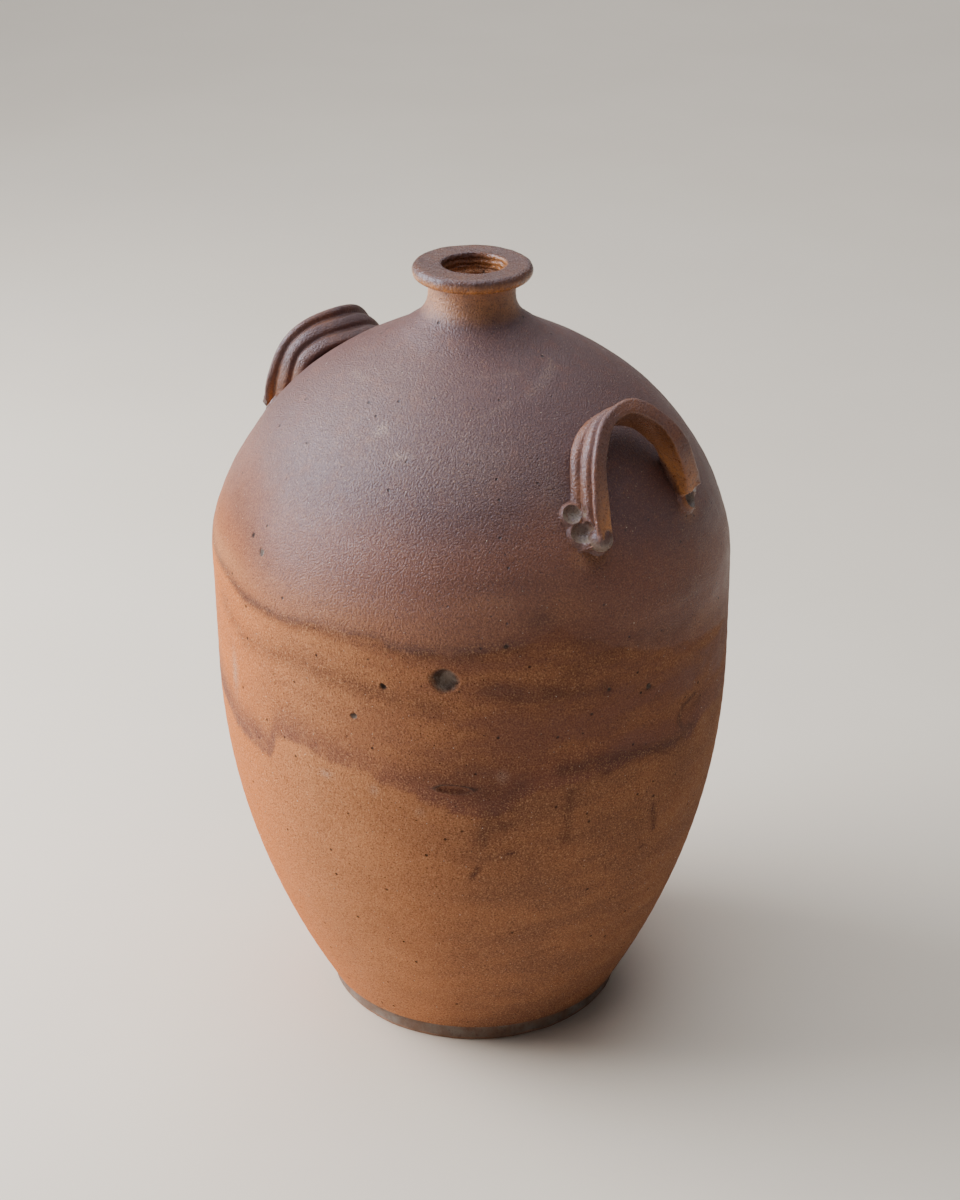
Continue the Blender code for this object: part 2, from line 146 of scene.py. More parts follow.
# Sizes of the finish
BROAD_MOTTLE = 0.070
FINE_MOTTLE = 0.015
SPECKLE = 0.0013
PEEL = 0.0015
STREAK_SQUASH = 3.2
RAGGED_BROAD = 0.016
RAGGED_FINE = 0.014
EDGE_SOFT = 0.0045
BLUSH_FALL = 0.055
PLUM_RISE = 0.100
BAND_SOFT = 0.0035
BAND_THICK = 0.008
BAND_HAZE = 0.040
HAZE_SOFT = 0.012
PIN_DENT = 0.0015
PIN_DENT_SPACING = 0.011
PINHOLE = 0.00065
PINHOLE_SPACING = 0.0085
PINPRICK = 0.00040
PINPRICK_SPACING = 0.0036
CRUMB = 0.00050
CRUMB_SPACING = 0.0052
PEEL_DEPTH = 0.00034
GRAIN_DEPTH = 0.00085
PINHOLE_DEPTH = 0.0010
RING_ROUGHNESS = 0.22
STRAP_ROUGHNESS = 0.33
LEFT_STRAP_ROUGHNESS = 0.42
FLOOR_PATCH = 0.30
FLOOR_SIZE = 14.0

# Spacing of the faces
WALL_STEP = 0.0027
INSIDE_STEP = 0.0120
NECK_STEP = 0.0010
RIM_STEP = 0.0006
FOOT_STEP = 0.0012
FOOT_UNDER_STEP = 0.004
FOOT_TOP_STEP = 0.010
SEAM_GAP = 0.000005
SHARP_EDGE = math.radians(28)
WALL_COLUMNS = 480
RIM_COLUMNS = 320
FOOT_COLUMNS = 520
STRAP_SPAN_STEPS = 8
ROOT_STEPS = 4
SEAT_STEPS = 14
SOFTEN_ROUNDS = 3
FILLET_ROUNDS = 15
LAST_SOFTEN_ROUNDS = 2

# Heights and radii that follow from the sizes above
FOOT_RADIUS = WALL_BASE_RADIUS - FOOT_INSET
BELLY_START = FOOT_HEIGHT + LOWER_WALL_RISE
BELLY_JOINT = BELLY_START + BELLY_RISE_TO_JOINT
SHOULDER_START = BELLY_JOINT + BELLY_RISE_ABOVE_JOINT
NECK_FOOT_HEIGHT = SHOULDER_START + SHOULDER_RISE
NECK_TOP = NECK_FOOT_HEIGHT + NECK_RISE
NECK_RADIUS = MOUTH_RADIUS + NECK_WALL
RIM_TOP = NECK_TOP + RIM_HEIGHT
RIM_RADIUS = NECK_RADIUS + RIM_OVERHANG
HANDLE_HEIGHT = SHOULDER_START + SHOULDER_RISE * HANDLE_PLACE_SHARE
HANDLE_HALF_SPAN = HANDLE_REACH * HANDLE_SEAT_SHARE

# Shoulder outline: share of its rise, share of the step from the neck foot to the belly
SHOULDER_SHARES = (
    (0.00, 1.000), (0.09, 0.990), (0.19, 0.957), (0.33, 0.890), (0.46, 0.799), (0.60, 0.677),
    (0.74, 0.510), (0.88, 0.273), (1.00, 0.000),
)

# Neck outline: share of its rise, share of the step from the neck to its foot
NECK_SHARES = (
    (0.00, 1.000), (0.16, 0.620), (0.34, 0.255), (0.52, 0.065), (0.72, 0.000), (1.00, 0.020),
)

# How the wall leans off its axis: share of the height, share of the sway
SWAY_SHARES = (
    (0.00, 1.00), (0.30, 0.55), (0.50, 0.20), (0.60, 0.00), (0.68, -0.45), (0.76, -0.20),
    (0.90, -0.55), (1.00, -0.20),
)

# Strap section: share of the width, share of the thickness, round from the outer edge
STRAP_SHARES = (
    (0.50, 0.00), (0.49, 0.36), (0.43, 0.50), (0.34, 0.45), (0.26, 0.20), (0.18, 0.42),
    (0.06, 0.48), (-0.06, 0.43), (-0.13, 0.20), (-0.21, 0.43), (-0.33, 0.50), (-0.45, 0.46),
    (-0.50, 0.20), (-0.49, -0.28), (-0.42, -0.47), (-0.10, -0.50), (0.25, -0.50), (0.45, -0.47),
    (0.50, -0.32),
)

# Centre line of the right strap: shares of its reach, its rise, its stand away from the wall
# and its twist, which turns its width from straight down at none to straight up
STRAP_PATH_SHARES = (
    (-0.97, 0.04, 0.10, 0.33), (-0.79, 0.45, 0.13, 0.45), (-0.59, 0.78, 0.17, 0.67),
    (-0.30, 0.97, 0.24, 0.91), (0.12, 0.99, 0.37, 1.00), (0.43, 0.85, 0.64, 0.82),
    (0.63, 0.62, 0.86, 0.56), (0.79, 0.36, 0.40, 0.38), (0.85, 0.18, -0.02, 0.31),
)

# Left strap, whose arch stays full down to its foot at the front
LEFT_STRAP_PATH_SHARES = (
    (-1.01, 0.04, 0.10, 0.33), (-0.82, 0.45, 0.12, 0.45), (-0.60, 0.80, 0.16, 0.67),
    (-0.30, 1.01, 0.24, 0.91), (0.12, 1.05, 0.36, 1.00), (0.50, 0.96, 0.60, 0.84),
    (0.73, 0.75, 0.70, 0.62), (0.80, 0.45, 0.40, 0.44), (0.77, 0.16, 0.00, 0.34),
)

# Thumb marks beside a foot: shares of the pad radius, away from the arch and up the wall
THUMB_SHARES = (
    (0.52, 1.88), (0.30, 0.72), (-0.88, 0.10),
)

# Edges of the brown blush and of the lower band, as share of a turn from the front,
# share of the jar's height
BLUSH_EDGE_SHARES = (
    (-0.50, 0.630), (-0.38, 0.645), (-0.28, 0.662), (-0.217, 0.662), (-0.198, 0.653),
    (-0.177, 0.650), (-0.159, 0.639), (-0.138, 0.639), (-0.121, 0.638), (-0.096, 0.646),
    (-0.075, 0.647), (-0.058, 0.648), (-0.037, 0.636), (-0.022, 0.636), (0.005, 0.638),
    (0.027, 0.645), (0.039, 0.656), (0.051, 0.662), (0.080, 0.630), (0.111, 0.603), (0.160, 0.584),
    (0.226, 0.560), (0.32, 0.590), (0.42, 0.610), (0.50, 0.630),
)
BAND_EDGE_SHARES = (
    (-0.50, 0.462), (-0.36, 0.455), (-0.26, 0.478), (-0.199, 0.459), (-0.178, 0.443),
    (-0.153, 0.439), (-0.136, 0.436), (-0.130, 0.466), (-0.119, 0.482), (-0.100, 0.476),
    (-0.088, 0.468), (-0.079, 0.472), (-0.062, 0.470), (-0.042, 0.451), (-0.026, 0.441),
    (-0.007, 0.428), (0.006, 0.418), (0.017, 0.424), (0.028, 0.443), (0.043, 0.455), (0.058, 0.456),
    (0.077, 0.465), (0.106, 0.463), (0.132, 0.459), (0.153, 0.457), (0.169, 0.472), (0.195, 0.469),
    (0.30, 0.450), (0.40, 0.470), (0.50, 0.462),
)

# Pits: share of a turn from the front, share of the jar's height, share of the pit size
PIT_SHARES = (
    (-0.051, 0.590, 1.25), (-0.070, 0.543, 1.30), (0.111, 0.560, 1.10), (0.082, 0.574, 0.80),
    (-0.146, 0.704, 1.40), (-0.160, 0.715, 1.00), (0.020, 0.650, 0.90), (0.230, 0.520, 1.20),
    (0.310, 0.640, 1.10), (0.410, 0.450, 1.30), (-0.360, 0.520, 1.20), (-0.450, 0.600, 0.90),
)

# Chip of the belly and long scar of the band: share of a turn and of the height
CHIP_PLACE_SHARES = (-0.015, 0.606)
SCAR_PLACE_SHARES = (-0.0105, 0.461)

# Smudges: share of a turn from the front, share of the height, spread shares, strength share
SMUDGE_SHARES = (
    (-0.005, 0.480, 0.034, 0.024, 0.40), (0.012, 0.452, 0.020, 0.016, 0.50),
    (0.017, 0.411, 0.009, 0.012, 0.60), (0.000, 0.360, 0.050, 0.060, 0.16),
    (0.039, 0.678, 0.010, 0.012, 0.55), (0.066, 0.806, 0.008, 0.018, 0.55),
    (0.020, 0.716, 0.030, 0.016, 0.22), (0.150, 0.660, 0.020, 0.020, 0.25),
    (0.083, 0.462, 0.004, 0.004, 0.85), (0.081, 0.571, 0.005, 0.003, 0.80),
    (0.111, 0.557, 0.003, 0.003, 1.00), (0.118, 0.324, 0.0025, 0.003, 0.90),
    (0.0245, 0.366, 0.0035, 0.0035, 1.00), (0.160, 0.500, 0.014, 0.010, 0.40),
    (0.069, 0.640, 0.018, 0.016, 0.30), (0.330, 0.420, 0.030, 0.020, 0.50),
    (-0.330, 0.380, 0.026, 0.020, 0.45), (0.450, 0.300, 0.030, 0.030, 0.30),
)

# Brush-like marks of the flame and the drips, and in the first two rows a painted shadow: share of
# a turn and of the height at each end, share of the jar's height for its width, and strength share
STROKE_SHARES = (
    # The first two rows are a painted shadow on the wall inside the right handle's arch, beside its
    # far leg
    (0.150, 0.842, 0.166, 0.822, 0.016, 0.80), (0.166, 0.822, 0.172, 0.778, 0.014, 0.75),
    (-0.235, 0.664, -0.198, 0.656, 0.008, 0.70), (-0.198, 0.656, -0.177, 0.652, 0.0072, 0.80),
    (-0.177, 0.652, -0.159, 0.642, 0.0075, 0.85), (-0.159, 0.642, -0.121, 0.641, 0.0085, 0.80),
    (-0.121, 0.641, -0.096, 0.648, 0.009, 0.70), (-0.096, 0.648, -0.058, 0.650, 0.010, 0.55),
    (-0.058, 0.650, -0.037, 0.640, 0.009, 0.60), (-0.037, 0.640, 0.005, 0.642, 0.011, 0.70),
    (0.005, 0.642, 0.027, 0.649, 0.010, 0.55), (-0.187, 0.606, -0.160, 0.584, 0.016, 0.40),
    (-0.160, 0.584, -0.131, 0.591, 0.016, 0.45), (-0.131, 0.591, -0.106, 0.593, 0.016, 0.50),
    (-0.106, 0.593, -0.084, 0.589, 0.016, 0.55), (-0.084, 0.589, -0.049, 0.578, 0.016, 0.55),
    (-0.049, 0.578, -0.022, 0.571, 0.016, 0.45), (0.010, 0.595, 0.027, 0.587, 0.012, 0.50),
    (0.027, 0.587, 0.063, 0.582, 0.012, 0.60), (0.063, 0.582, 0.081, 0.579, 0.009, 0.45),
    (0.028, 0.465, 0.011, 0.418, 0.017, 0.55), (0.011, 0.430, 0.006, 0.384, 0.014, 0.60),
    (0.004, 0.344, 0.001, 0.331, 0.005, 1.00), (0.054, 0.479, 0.077, 0.479, 0.011, 0.65),
    (0.077, 0.479, 0.106, 0.474, 0.011, 0.75), (0.106, 0.474, 0.132, 0.463, 0.010, 0.75),
    (0.132, 0.463, 0.156, 0.470, 0.011, 0.60), (0.157, 0.513, 0.143, 0.506, 0.0035, 0.90),
    (0.143, 0.506, 0.139, 0.492, 0.0035, 0.90), (0.139, 0.492, 0.145, 0.473, 0.0035, 0.80),
    (0.059, 0.445, 0.058, 0.375, 0.007, 0.50), (0.122, 0.383, 0.127, 0.343, 0.0036, 0.90),
    (0.066, 0.190, 0.041, 0.178, 0.004, 0.35), (0.051, 0.600, 0.075, 0.616, 0.018, 0.35),
    (0.075, 0.616, 0.103, 0.627, 0.016, 0.35), (0.103, 0.627, 0.146, 0.621, 0.016, 0.30),
    (0.240, 0.590, 0.330, 0.560, 0.015, 0.45), (0.330, 0.610, 0.420, 0.640, 0.012, 0.50),
    (-0.420, 0.590, -0.320, 0.560, 0.014, 0.50), (-0.330, 0.660, -0.240, 0.668, 0.010, 0.55),
    (0.380, 0.450, 0.370, 0.360, 0.009, 0.50), (-0.300, 0.455, -0.306, 0.390, 0.007, 0.45),
)

# Pale scrapes, and in the broad rows over the top of the shoulder pale dust with painted sheen,
# laid out as the smudges are
SCRAPE_AND_SHEEN_SHARES = (
    (-0.176, 0.520, 0.0035, 0.028, 0.70), (-0.090, 0.452, 0.004, 0.005, 0.70),
    (-0.058, 0.447, 0.0025, 0.006, 0.60), (-0.030, 0.425, 0.0025, 0.005, 0.45),
    (0.018, 0.478, 0.003, 0.008, 0.40), (-0.110, 0.850, 0.110, 0.085, 0.20),
    (0.010, 0.830, 0.040, 0.030, 0.14), (0.060, 0.800, 0.012, 0.035, 0.14),
    (-0.090, 0.852, 0.006, 0.006, 0.55), (-0.060, 0.835, 0.008, 0.004, 0.40),
    (0.250, 0.700, 0.012, 0.008, 0.40), (-0.400, 0.760, 0.014, 0.008, 0.40),
)

# How strong the lower band and the haze above it are: share of a turn from the front,
# band share, haze share
BAND_STRENGTH_SHARES = (
    (-0.50, 0.60, 0.30), (-0.25, 0.85, 0.12), (-0.20, 1.00, 0.08), (-0.17, 1.00, 0.08),
    (-0.148, 1.00, 0.12), (-0.130, 0.95, 0.15), (-0.110, 0.80, 0.18), (-0.085, 0.70, 0.22),
    (-0.060, 0.65, 0.25), (-0.030, 0.85, 0.32), (0.000, 1.00, 0.42), (0.030, 0.95, 0.48),
    (0.060, 0.90, 0.52), (0.100, 0.95, 0.58), (0.150, 1.00, 0.60), (0.180, 0.90, 0.58),
    (0.210, 0.60, 0.50), (0.300, 0.65, 0.35), (0.400, 0.60, 0.35), (0.50, 0.60, 0.30),
)

# Painted shade and light on the bare clay: share of a turn from the front, share of painted
# shade, browner away from the window, and share of a warmer painted lit colour on the window side
PAINTED_SHADE_AND_LIGHT_SHARES = (
    (-0.50, 0.35, 0.20), (-0.25, 0.10, 0.60), (-0.20, 0.00, 1.00), (-0.17, 0.00, 0.85),
    (-0.14, 0.00, 0.50), (-0.10, 0.06, 0.10), (-0.07, 0.14, 0.00), (-0.03, 0.45, 0.00),
    (0.00, 0.78, 0.00), (0.04, 0.95, 0.00), (0.08, 1.00, 0.00), (0.12, 0.88, 0.00),
    (0.20, 0.75, 0.00), (0.30, 0.50, 0.10), (0.40, 0.35, 0.20), (0.50, 0.35, 0.20),
)

# Where the warmer painted lit colour of the window side ends up the wall, and how softly: shares of
# the jar's height
LIT_SIDE_TOP_SHARE = 0.86
LIT_SIDE_FADE_SHARE = 0.16

# Rusty spots of the shoulder, laid out as the smudges are
RUST_SPOT_SHARES = (
    (0.072, 0.738, 0.009, 0.012, 0.55), (0.082, 0.734, 0.008, 0.008, 0.35),
    (0.172, 0.740, 0.010, 0.012, 0.60), (-0.195, 0.668, 0.040, 0.014, 0.55),
    (0.010, 0.700, 0.020, 0.010, 0.25), (0.560, 0.740, 0.014, 0.014, 0.50),
    (0.420, 0.740, 0.014, 0.014, 0.50),
)

# Faint pale scratches of the shoulder, laid out as the flame's marks are
SCRATCH_SHARES = (
    (0.007, 0.870, 0.045, 0.880, 0.003, 0.22), (-0.029, 0.804, -0.010, 0.845, 0.003, 0.14),
    (0.066, 0.883, 0.150, 0.902, 0.0032, 0.20), (-0.052, 0.900, 0.076, 0.900, 0.0032, 0.12),
    (-0.100, 0.885, -0.042, 0.886, 0.003, 0.15), (-0.188, 0.882, -0.142, 0.885, 0.0034, 0.34),
    (-0.060, 0.846, -0.035, 0.868, 0.0028, 0.15), (0.028, 0.845, 0.050, 0.858, 0.0028, 0.14),
    (0.300, 0.800, 0.340, 0.820, 0.003, 0.19), (-0.400, 0.840, -0.350, 0.850, 0.003, 0.19),
)

# Colours, as light that the clay gives back
BARE_LIGHT = (0.572, 0.236, 0.100)
BARE_DEEP = (0.450, 0.182, 0.078)
# Lit and shaded copies of the bare clay: warmer where the window lights it, and browner as painted
# shade on the side away from it
BARE_LIT_WARM = (0.590, 0.172, 0.038)
BARE_SHADED = (0.250, 0.110, 0.061)
BARE_CRUMB = (0.700, 0.380, 0.190)
SALT_RUST = (0.215, 0.078, 0.042)
SALT_PLUM = (0.124, 0.054, 0.045)
# Dark of smoke, also laid as painted shade
SMOKE_AND_SHADE_DARK = (0.085, 0.036, 0.027)
# Pale of the scrapes, also laid as pale dust with painted sheen over the top of the shoulder
PALE_SCRAPE_AND_SHEEN = (0.450, 0.310, 0.235)
NECK_RUST = (0.520, 0.232, 0.102)
RUST_BRIGHT = (0.600, 0.235, 0.070)
BROKEN_DARK = (0.045, 0.030, 0.024)
BROKEN_GREY = (0.165, 0.132, 0.110)
BAND_PLUM = (0.215, 0.080, 0.048)
SKY_TINT = (0.72, 0.78, 1.0, 1.0)
ASH_OLIVE = (0.255, 0.200, 0.148)
RING_PLUM = (0.115, 0.056, 0.044)
RING_RUST = (0.155, 0.064, 0.036)
STRAP_PLUM = (0.168, 0.080, 0.061)
STRAP_RUST = (0.230, 0.092, 0.048)
# Darker copy of the strap glaze for the left handle, as painted shade
LEFT_STRAP_SHADED_PLUM = (0.098, 0.048, 0.038)
LEFT_STRAP_SHADED_RUST = (0.150, 0.060, 0.032)
FOOT_GREY = (0.240, 0.190, 0.158)
FOOT_BROWN = (0.190, 0.112, 0.075)
GRAIN_PALE = (0.680, 0.560, 0.430)
GRAIN_IRON = (0.040, 0.022, 0.016)
FLOOR_PALE = (0.860, 0.755, 0.640)
FLOOR_TONE = (0.790, 0.685, 0.570)

# Room and lights: degrees round from the front, degrees of lift, distance, width, height
# and energy of each light, and its colour
ROOM_COLOUR = (0.86, 0.93, 1.0, 1.0)
ROOM_STRENGTH = 0.11
LIGHTS = (
    ("window", -98, 27, 2.1, 1.7, 1.7, 116.0, (0.94, 0.975, 1.0)),
    ("ceiling", 80, 82, 1.15, 0.9, 0.9, 4.5, (0.93, 0.97, 1.0)),
    ("soft_fill", 168, 40, 2.6, 3.0, 1.2, 8.0, (0.93, 0.96, 1.0)),
)
# Light over the floor far behind the jar, facing down, in the same order
FAR_LIGHT = ("far_floor", 178, 30, 4.9, 4.5, 2.4, 42.0, (0.96, 0.98, 1.0))
# Even light from overhead: degrees round from the front, degrees of lift, spread and strength
SKY_TURN = -92
SKY_LIFT = 76
SKY_SPREAD = 60
SKY_STRENGTH = 1.20
SKY_COLOUR = (0.93, 0.97, 1.0)

# Camera: its place and its right, up and forward ways with the front turned to -Y, and its
# lens, which is the focal length in pixels of a picture that is this many pixels high
CAMERA_PLACE = (0.0, -1.7015, 1.1882)
CAMERA_RIGHT = (1.0, -0.0011, 0.0053)
CAMERA_UP = (-0.0042, 0.446, 0.895)
CAMERA_AHEAD = (0.0033, 0.8951, -0.446)
FOCAL_PIXELS = 2392.1
PICTURE_PIXELS = 1200
SENSOR_HEIGHT = 36.0


def smooth_path(points, steps):
    """Catmull-Rom curve through the points, with this many steps to a span."""
    first = points[0] * 2 - points[1]
    last = points[-1] * 2 - points[-2]
    guide = [first] + list(points) + [last]
    path = []
    for index in range(1, len(guide) - 2):
        before, start, end, after = guide[index - 1:index + 3]
        for step in range(steps):
            share = step / steps
            path.append(0.5 * (
                start * 2
                + (end - before) * share
                + (before * 2 - start * 5 + end * 4 - after) * share ** 2
                + (start * 3 - before - end * 3 + after) * share ** 3
            ))
    path.append(points[-1].copy())
    return path


def even_path(points, spacing):
    """The path laid out again in steps of about the given length."""
    reach = [0.0]
    for before, after in zip(points, points[1:]):
        reach.append(reach[-1] + (after - before).length)
    count = max(2, round(reach[-1] / spacing))
    places = np.linspace(0.0, reach[-1], count + 1)
    columns = [np.interp(places, reach, [point[axis] for point in points]) for axis in (0, 1)]
    return [Vector(pair) for pair in zip(*columns)]


def arc_path(centre, reach, rise, start, end, steps):
    """Points of an elliptical arc, with the angles in degrees."""
    path = []
    for step in range(steps + 1):
        angle = math.radians(start + (end - start) * step / steps)
        path.append(centre + Vector((reach * math.cos(angle), rise * math.sin(angle))))
    return path


def wall_outline():
    """Outer side of the wall, from the foot up, as (radius, height) points in fine steps.

    Returns the lower section, the shoulder and the neck, whose ends meet.
    """
    corner = Vector((WALL_BASE_RADIUS - WALL_BASE_EDGE, FOOT_HEIGHT + WALL_BASE_EDGE))
    lower = arc_path(corner, WALL_BASE_EDGE, WALL_BASE_EDGE, -90, 0, 8)
    rows = 60
    for row in range(1, rows + 1):
        rise = row / rows
        swell = 1 - (1 - rise) ** LOWER_SWELL_POWER
        radius = WALL_BASE_RADIUS + (BELLY_RADIUS - WALL_BASE_RADIUS) * swell
        lower.append(Vector((radius, corner.y + (BELLY_START - corner.y) * rise)))
    lower.append(Vector((BELLY_RADIUS, BELLY_JOINT)))

    shoulder_reach = BELLY_RADIUS - NECK_FOOT_RADIUS
    shoulder = [
        Vector((NECK_FOOT_RADIUS + shoulder_reach * out, SHOULDER_START + SHOULDER_RISE * up))
        for up, out in SHOULDER_SHARES
    ]
    neck_reach = NECK_FOOT_RADIUS - NECK_RADIUS
    neck = [
        Vector((NECK_RADIUS + neck_reach * out, NECK_FOOT_HEIGHT + NECK_RISE * up))
        for up, out in NECK_SHARES
    ]
    span = 12
    whole = smooth_path(shoulder[:-1] + neck, span)
    joint = span * len(SHOULDER_SHARES)
    upper = [Vector((BELLY_RADIUS, BELLY_JOINT))] + whole[:joint + 1]
    return lower, upper, whole[joint:]


def wall_radius(outline, height):
    """Radius of the outer wall at a height."""
    for low, high in zip(outline, outline[1:]):
        if low.y <= height <= high.y and high.y > low.y:
            share = (height - low.y) / (high.y - low.y)
            return low.x + (high.x - low.x) * share
    return outline[-1].x


def wall_slope(outline, height):
    """Angle of the wall's outward normal above the horizontal at a height."""
    reach = STRAP_THICKNESS
    step = wall_radius(outline, height + reach) - wall_radius(outline, height - reach)
    return math.atan2(-step, 2 * reach)


def feed(tree, node, feeds):
    """Feeds a node's inputs with values or with other nodes' outputs."""
    for key, value in feeds.items():
        if isinstance(value, bpy.types.NodeSocket):
            tree.links.new(value, node.inputs[key])
        else:
            node.inputs[key].default_value = value


def add_node(tree, kind, feeds=None, **settings):
    """Adds a node, sets it up and feeds its inputs."""
    node = tree.nodes.new(kind)
    for name, value in settings.items():
        setattr(node, name, value)
    feed(tree, node, feeds or {})
    return node


def calculate(tree, operation, *values):
    """Output of a math node; its values are numbers or other nodes' outputs."""
    kind = "ShaderNodeMath"
    return add_node(tree, kind, dict(enumerate(values)), operation=operation).outputs[0]


def times(tree, first, second):
    return calculate(tree, "MULTIPLY", first, second)


def plus(tree, first, second):
    return calculate(tree, "ADD", first, second)


def greatest(tree, *values):
    largest = values[0]
    for value in values[1:]:
        largest = calculate(tree, "MAXIMUM", largest, value)
    return largest


def spread_over(tree, value, low, high, to_low=0.0, to_high=1.0):
    """Value laid smoothly from one range onto another, held at both ends."""
    feeds = {0: value, 1: low, 2: high, 3: to_low, 4: to_high}
    settings = {"clamp": True, "interpolation_type": "SMOOTHSTEP"}
    return add_node(tree, "ShaderNodeMapRange", feeds, **settings).outputs[0]


def new_tree(name, taken, made):
    """Empty geometry nodes tree with its inputs, which are given as outputs to feed from."""
    tree = bpy.data.node_groups.new(name, "GeometryNodeTree")
    for label, kind in taken.items():
        tree.interface.new_socket(label, in_out="INPUT", socket_type="NodeSocket" + kind)
    tree.interface.new_socket(made, in_out="OUTPUT", socket_type="NodeSocketGeometry")
    return tree, tree.nodes.new("NodeGroupInput").outputs


def hand_over(tree, geometry, clay, made):
    """Ends a tree with its geometry made real and in its clay."""
    real = add_node(tree, "GeometryNodeRealizeInstances", {"Geometry": geometry})
    feeds = {"Geometry": real.outputs[0], "Material": clay}
    clad = add_node(tree, "GeometryNodeSetMaterial", feeds)
    add_node(tree, "NodeGroupOutput", {made: clad.outputs[0]})
    return tree


def wheel_tree():
    """Geometry nodes that turn an outline round the jar's axis, as on the wheel.

    Every point of the outline makes one row. Its own attributes say how far the row
    sways off the axis, and how deep the wobble and the wheel's rings are in it.
    """
    tree, given = new_tree("potters_wheel", {
        "Outline": "Geometry", "Columns": "Int", "Ring Pitch": "Float", "Sway Angle": "Float",
        "Lump Size": "Float", "Seed": "Float", "Clay": "Material",
    }, "Turned")
    count = add_node(tree, "GeometryNodeAttributeDomainSize", {0: given["Outline"]})
    points = count.outputs["Point Count"]
    rows = plus(tree, points, 1.0)
    feeds = {"Vertices X": plus(tree, given["Columns"], 1.0), "Vertices Y": rows}
    grid = add_node(tree, "GeometryNodeMeshGrid", feeds).outputs["Mesh"]
    index = tree.nodes.new("GeometryNodeInputIndex").outputs[0]
    row = calculate(tree, "MODULO", calculate(tree, "MODULO", index, rows), points)
    column = calculate(tree, "FLOOR", calculate(tree, "DIVIDE", index, rows))

    def along(name, kind="FLOAT"):
        if name:
            feeds = {"Name": name}
            named = add_node(tree, "GeometryNodeInputNamedAttribute", feeds, data_type=kind)
            field = named.outputs["Attribute"]
        else:
            field = tree.nodes.new("GeometryNodeInputPosition").outputs[0]
        feeds = {"Geometry": given["Outline"], "Value": field, "Index": row}
        taken = add_node(tree, "GeometryNodeSampleIndex", feeds, data_type=kind)
        return taken.outputs["Value"]

    place = add_node(tree, "ShaderNodeSeparateXYZ", {0: along("", "FLOAT_VECTOR")}).outputs
    turn = calculate(tree, "DIVIDE", column, given["Columns"])
    angle = times(tree, turn, math.tau)
    east = calculate(tree, "COSINE", angle)
    north = calculate(tree, "SINE", angle)
    spot = {0: times(tree, east, place["X"]), 1: times(tree, north, place["X"]), 2: place["Z"]}
    feeds = {
        "Vector": add_node(tree, "ShaderNodeCombineXYZ", spot).outputs[0],
        "W": given["Seed"],
        "Detail": 2.0,
        "Scale": calculate(tree, "DIVIDE", 1.0, given["Lump Size"]),
    }
    lumps = add_node(tree, "ShaderNodeTexNoise", feeds, noise_dimensions="4D")
    lump = calculate(tree, "SUBTRACT", lumps.outputs[0], 0.5)
    wobble = times(tree, lump, along("wobble"))

    climb = plus(tree, calculate(tree, "DIVIDE", place["Z"], given["Ring Pitch"]), turn)
    climb = plus(tree, climb, times(tree, lump, 1.4))
    wave = calculate(tree, "SINE", times(tree, climb, math.tau))
    rings = times(tree, wave, along("rings"))
    radius = plus(tree, place["X"], plus(tree, wobble, rings))

    moved = {2: plus(tree, place["Z"], times(tree, lump, along("ripple")))}
    lean = along("sway")
    for axis, way, turned in ((0, east, "COSINE"), (1, north, "SINE")):
        shift = times(tree, lean, calculate(tree, turned, given["Sway Angle"]))
        moved[axis] = calculate(tree, "MULTIPLY_ADD", way, radius, shift)
    feeds = {
        "Geometry": grid,
        "Position": add_node(tree, "ShaderNodeCombineXYZ", moved).outputs[0],
    }
    thrown = add_node(tree, "GeometryNodeSetPosition", feeds)
    feeds = {"Geometry": thrown.outputs[0], "Distance": SEAM_GAP}
    closed = add_node(tree, "GeometryNodeMergeByDistance", feeds)
    smooth = add_node(tree, "GeometryNodeSetShadeSmooth", {"Geometry": closed.outputs[0]})
    return hand_over(tree, smooth.outputs[0], given["Clay"], "Turned")


def new_object(name, data):
    obj = bpy.data.objects.new(name, data)
    bpy.context.scene.collection.objects.link(obj)
    return obj


def keep_result(obj):
    """Keeps the mesh that an object's modifiers make, in place of its own."""
    graph = bpy.context.evaluated_depsgraph_get()
    mesh = bpy.data.meshes.new_from_object(obj.evaluated_get(graph), depsgraph=graph)
    obj.modifiers.clear()
    obj.data = mesh
    mesh.name = obj.name
    return mesh


def run_tree(obj, tree, **inputs):
    """Runs a geometry nodes tree on an object and keeps the mesh that it makes."""
    modifier = obj.modifiers.new(tree.name, "NODES")
    modifier.node_group = tree
    for socket in tree.interface.items_tree:
        if socket.in_out == "INPUT" and socket.name in inputs:
            modifier[socket.identifier] = inputs[socket.name]
    keep_result(obj)


def share_at(places, table, column=1):
    """Shares of a table's column at the places, which its first column lists in order."""
    rows = np.array(table)
    return np.interp(places, rows[:, 0], rows[:, column])


def sway_at(height):
    return SWAY * float(share_at(height / RIM_TOP, SWAY_SHARES))


def sway_shift(height):
    """How far east and north the wall leans off its axis at a height."""
    lean = FRONT_ANGLE + math.pi / 2
    sway = sway_at(height)
    return sway * math.cos(lean), sway * math.sin(lean)


def direction(turn, lift):
    """Unit vector at an angle round the axis and an angle above the horizontal."""
    return Vector((
        math.cos(lift) * math.cos(turn), math.cos(lift) * math.sin(turn), math.sin(lift)
    ))


